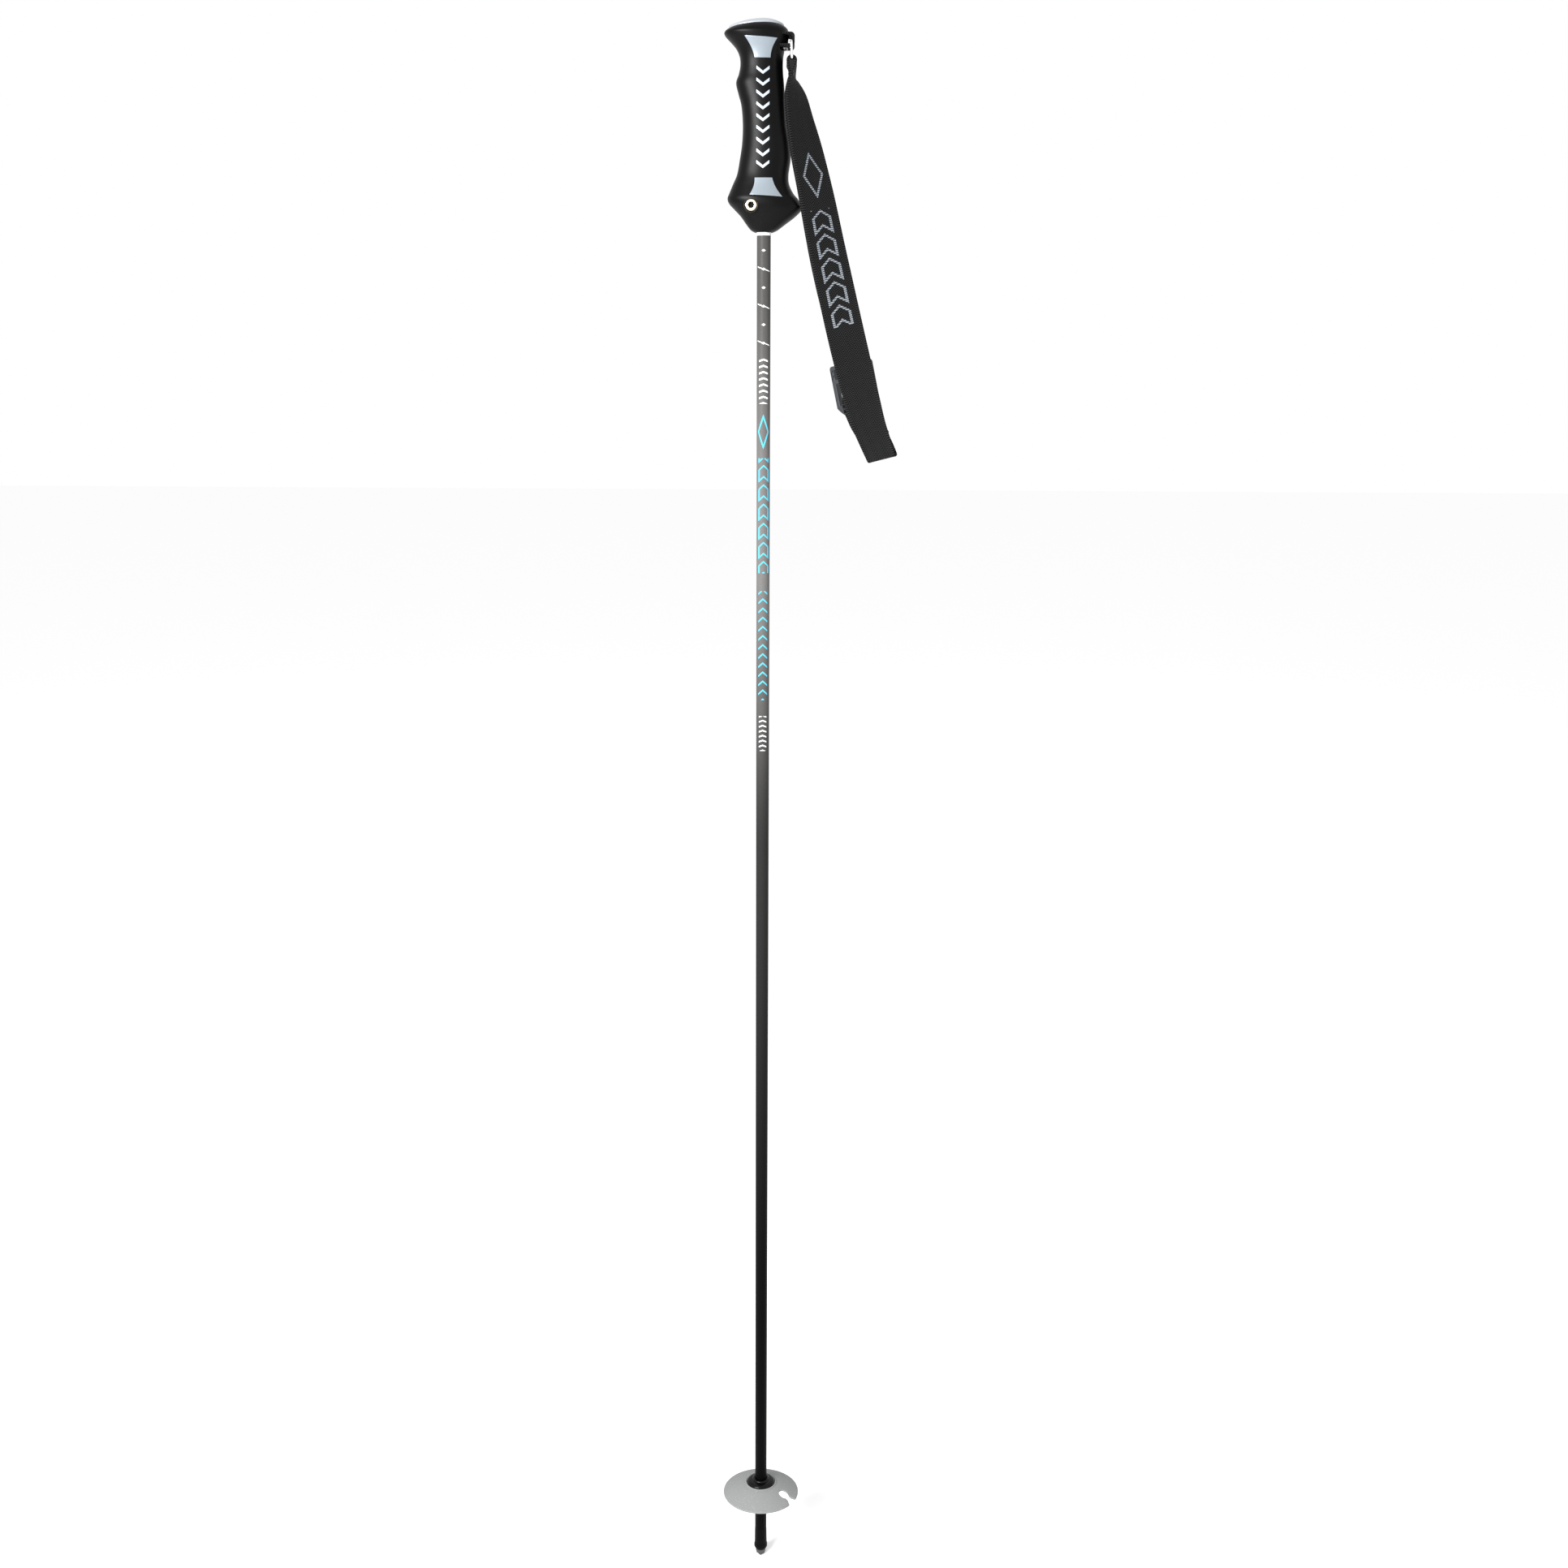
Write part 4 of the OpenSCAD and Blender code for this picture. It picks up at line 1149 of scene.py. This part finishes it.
def build_buckle():
    """A ladder-lock buckle: frame, rail, ribbed bars and a thumb panel."""
    half, top, end, window = 20, -17.8, 24.5, 16.4
    end_r = 25
    corner = 2.4
    cross_v = (-7.4, -4.2)
    lower_v = LOCK_V + 6.6
    reach = math.degrees(math.asin(half / end_r))
    sweep = np.radians(np.linspace(-reach, reach, 25))
    outer = [(end_r * math.sin(a), end - end_r + end_r * math.cos(a)) for a in sweep[::-1]]
    quarter = np.radians([0, 22, 45, 67, 90])
    left, right, below_top = corner - half, half - corner, top + corner
    outer += [(left - corner * math.cos(a), below_top - corner * math.sin(a)) for a in quarter]
    outer += [(right + corner * math.sin(a), below_top - corner * math.cos(a)) for a in quarter]
    upper_slot = rounded(-window, SEWN_V + 1.2, window, cross_v[0], 0.9)
    lower_slot = rounded(-window, cross_v[1], window, lower_v, 0.9)
    plate = outline_plate("frame", [outer, upper_slot[::-1], lower_slot[::-1]], BUCKLE_T, 0.7)
    pieces = [plate]
    for v, ridges in ((SEWN_V, 0), (LOCK_V, 5)):
        rings = []
        for x in np.linspace(-window - 1, window + 1, 61):
            ring = []
            for a in full_turn(32):
                bite = 0.12 * (math.cos(a * ridges * 2) if ridges else 0)
                ring.append((x, v + (BAR_R - abs(bite)) * math.cos(a), (BAR_R - abs(bite)) * math.sin(a)))
            rings.append(ring)
        pieces.append(loft("bar", rings))
    frame_piece = joined("buckle_frame", pieces)
    shade(frame_piece, 40)
    # Recess for the thumb, and two slanted slots at each side of the rail, on both faces
    tools = []
    sunk = 1.6
    for face in (-1, 1):
        pad = outline_plate("pad", [rounded(-10, lower_v + 2.6, 10, end - 1.6, 1.4)], sunk, 0.3)
        tools.append(placed(pad, (0, 0, face * BUCKLE_T / 2)))
    slit = rounded(-0.55, -2.6, 0.55, 2.6, 0.5)
    for side in (-1, 1):
        for face in (-1, 1):
            for start in (-12.5, -8.6):
                turned = rotated(slit, math.radians(-30 * side), side * 18.2, start)
                groove = outline_plate("groove", [turned], sunk, 0.2)
                tools.append(placed(groove, (0, 0, face * BUCKLE_T / 2)))
    cut(frame_piece, *tools, angle=40)
    placed(frame_piece, buckle_c, wide, down, out)
    finish_piece(frame_piece, buckle_plastic, "buckle", "buckle_plastic", "buckle")


# ---------- basket ----------
DISH_FLAT = 13
DISH_T = 1.5
NOTCH_TURN = -31


def build_dish():
    rim_r = -float(low("basket_dish")[0])
    crown = float(high("basket_dish")[2]) - 0.7
    rise = 8.3
    bore = 9.2 + 0.08

    def height(r):
        return crown - rise * (max(r - DISH_FLAT, 0) / (rim_r - DISH_FLAT)) ** 1.25

    radii = np.linspace(DISH_FLAT, rim_r - 0.35, 40)
    lip = [(12.2, crown), (12.25, crown + 0.45), (12.5, crown + 0.7)]
    lip += [(13.1, crown + 0.68), (13.55, crown + 0.35)]
    edge_z = height(rim_r)
    rim = [(rim_r - 0.12, edge_z + 0.02), (rim_r, edge_z - 0.35), (rim_r, edge_z - DISH_T + 0.4)]
    rim += [(rim_r - 0.3, edge_z - DISH_T)]
    profile = [(bore, crown - DISH_T), (bore, crown)] + lip
    profile += [(r, height(r)) for r in radii[1:]] + rim
    profile += [(r, height(r) - DISH_T) for r in radii[::-2]] + [(DISH_FLAT, crown - DISH_T)]
    dish = lathe("snow_basket", profile, 288, angle=50)

    # Keyhole notch with rounded mouth
    hole_at, hole_r = 23.5, 4.4
    neck = 2.7
    start = math.asin(neck / hole_r)
    turns = np.linspace(start, 2 * math.pi - start, 33)
    keyhole = [(hole_at + hole_r * math.cos(a), hole_r * math.sin(a)) for a in turns]
    keyhole += [(28.6, -neck), (29.6, -3.1), (30.9, -4.2), (rim_r + 2, -6.6)]
    keyhole += [(rim_r + 2, 6.6), (30.9, 4.2), (29.6, 3.1), (28.6, neck)]
    turned = rotated(keyhole, math.radians(NOTCH_TURN))
    rings = [[(x, y, z) for x, y in turned] for z in (45, 85)]
    cut(dish, loft("keyhole", rings), angle=50)
    soften(dish, 0.16, 2, 55)
    shade(dish, 50)
    finish_piece(dish, dish_grey, "basket", "dish_plastic", "basket_dish")


def build_hub():
    """The domed hub, and the ring under the dish that locks it."""
    z0, z1 = extent("basket_hub", 2)
    base = z1 - 4.4
    shelf = z0 + 3.4
    inner = 5.06
    profile = [(inner, z0), (7.6, z0), (7.6, shelf), (9.2, shelf), (9.2, base), (11.6, base)]
    rounding = np.radians([30, 60, 90])
    profile += [(11.7 + 0.3 * math.sin(a), base + 0.3 - 0.3 * math.cos(a)) for a in rounding]
    profile += arc(7.9, base + 0.6, 4.08, 2.3, range(0, 91, 6))
    profile += [(7.35, base + 3.0), (7.3, base + 3.5), (7.0, base + 4.05), (6.5, base + 4.32)]
    profile += [(5.6, base + 4.4), (5.2, base + 4.2)]
    hub = lathe("hub_dome", profile, 160)
    finish_piece(hub, hub_plastic, "pole", "hub_plastic", "basket_hub")

    bottom, top = extent("basket_lock_ring", 2)
    lock_cut = [(7.6, bottom), (10.4, bottom), (11.4, bottom + 1), (11.4, top), (7.6, top)]
    ring = lathe("hub_lock", lock_cut, 128)
    soften(ring, 0.2, 2, 30)
    finish_piece(ring, hub_plastic, "pole", "hub_plastic", "basket_lock_ring")


# ---------- tip ----------
def build_tip():
    lip_r, foot, top = 5.7, 5.4, 25
    inner = 3.9
    profile = [(0, foot), (4.45, foot), (4.7, foot + 0.3), (lip_r, 7.6), (lip_r, 9.9), (5.55, 10.6)]
    profile += [(5.36, 11.4), (5.25, 14), (5.16, top), (5.05, top + 1)]
    profile += [(inner, top + 1), (inner, 60), (0, 60)]
    ferrule = lathe("tip_sleeve", profile, 128)
    finish_piece(ferrule, ferrule_plastic, "pole", "ferrule_plastic", "tip_ferrule")

    crown_cut = [(0, 0), (3.3, 0), (4.25, 3.1), (4.25, 5.4), (2.6, 5.45), (2.6, 22), (0, 22)]
    crown = lathe("tip_teeth", crown_cut, 96)
    tools = []
    for degrees in (45, 135):
        a = math.radians(degrees)
        notch = [(-2.2, -0.01), (0, 3.0), (2.2, -0.01), (2.2, -1), (-2.2, -1)]
        tool = prism("notch", notch, -10, 10)
        tools.append(placed(tool, (0, 0, 0), (math.cos(a), math.sin(a), 0), (-math.sin(a), math.cos(a), 0)))
    tools.append(lathe("hollow", [(0, -0.5), (2.85, -0.5), (2.6, 0), (1, 3.0), (0, 3.0)], 64))
    cut(crown, *tools)
    soften(crown, 0.1, 2, 40)
    finish_piece(crown, tip_steel, "pole", "tip_steel", "tip_crown")


# ---------- CAD nodes that stay, with their own materials ----------
def dress_frame():
    looks = {
        "shaft_plug": core_plastic,
        "clamp_core": core_plastic,
        "clamp_nut": dark_steel,
        "hanger_screw": dark_steel,
        "hanger_insert": brass,
        "strap_ring": chrome,
    }
    for name, material in looks.items():
        dress(nodes[name], material)


# ---------- studio ----------
def build_studio():
    scene = bpy.context.scene
    scene.view_settings.view_transform = "Standard"
    world = bpy.data.worlds.new("studio")
    scene.world = world
    world.use_nodes = True
    fill(world.node_tree.nodes["Background"], Color=(1, 1, 1, 1), Strength=1.0)

    reach = 15 / MM
    corners = [(-reach, -reach, 0), (reach, -reach, 0), (reach, reach, 0), (-reach, reach, 0)]
    floor = make("floor", corners, [(0, 1, 2, 3)])
    floor_look = Material("floor", (0.97, 0.97, 0.97), 0.9, Specular_IOR_Level=0.0)
    floor_look.paint((floor_look.noise(60, 3) - 0.4) * 0.1, (0.95, 0.95, 0.95))
    dress(floor, floor_look)

    # Lamps in metres and watts: name, place, width, height, power and the point each one faces
    height = float(cad_box[1][2])
    lamps = [
        ("key", (-1.0, -1.55, height + 0.05), 1.0, 0.5, 78, (0, 0, height * 0.85)),
        ("side", (1.3, -0.7, height * 0.9), 0.4, 0.4, 1, (0, 0, height * 0.75)),
        ("low", (-0.9, -1.3, 0.6), 0.4, 0.4, 1.2, (0, 0, 0.1)),
    ]
    for name, spot, breadth, tall, watts, aim in lamps:
        data = bpy.data.lights.new(name, "AREA")
        data.shape = "RECTANGLE"
        data.size = breadth
        data.size_y = tall
        data.energy = watts
        lamp = linked(name, data)
        back = unit(np.array(spot) - np.array(aim))
        side = unit(np.cross((0, 0, 1), back))
        up = np.cross(back, side)
        lamp.matrix_world = axes_at(side, up, back, spot)


def build_camera():
    """The camera stands in front of the pole, a little above its middle, and looks down."""
    data = bpy.data.cameras.new("camera")
    data.sensor_width = 36
    data.lens = 42.09
    data.clip_end = 60
    camera = linked("camera", data)
    dip = math.radians(12.67)
    roll = math.radians(0.29)
    ahead = np.array([0, math.cos(dip), -math.sin(dip)])
    right = np.array([1.0, 0, 0])
    up = np.cross(right, ahead)
    right, up = right * math.cos(roll) + up * math.sin(roll), up * math.cos(roll) - right * math.sin(roll)
    spot = (0.0172, -1.4312, 1.0178)
    camera.matrix_world = axes_at(right, up, -ahead, spot)
    bpy.context.scene.camera = camera


build_camera()
build_studio()
build_shaft()
build_band()
build_grip()
build_inlays()
build_side_graphic()
build_top_plate()
build_clamp_screw()
build_hanger()
build_strap()
build_stitching()
build_buckle()
build_dish()
build_hub()
build_tip()
dress_frame()
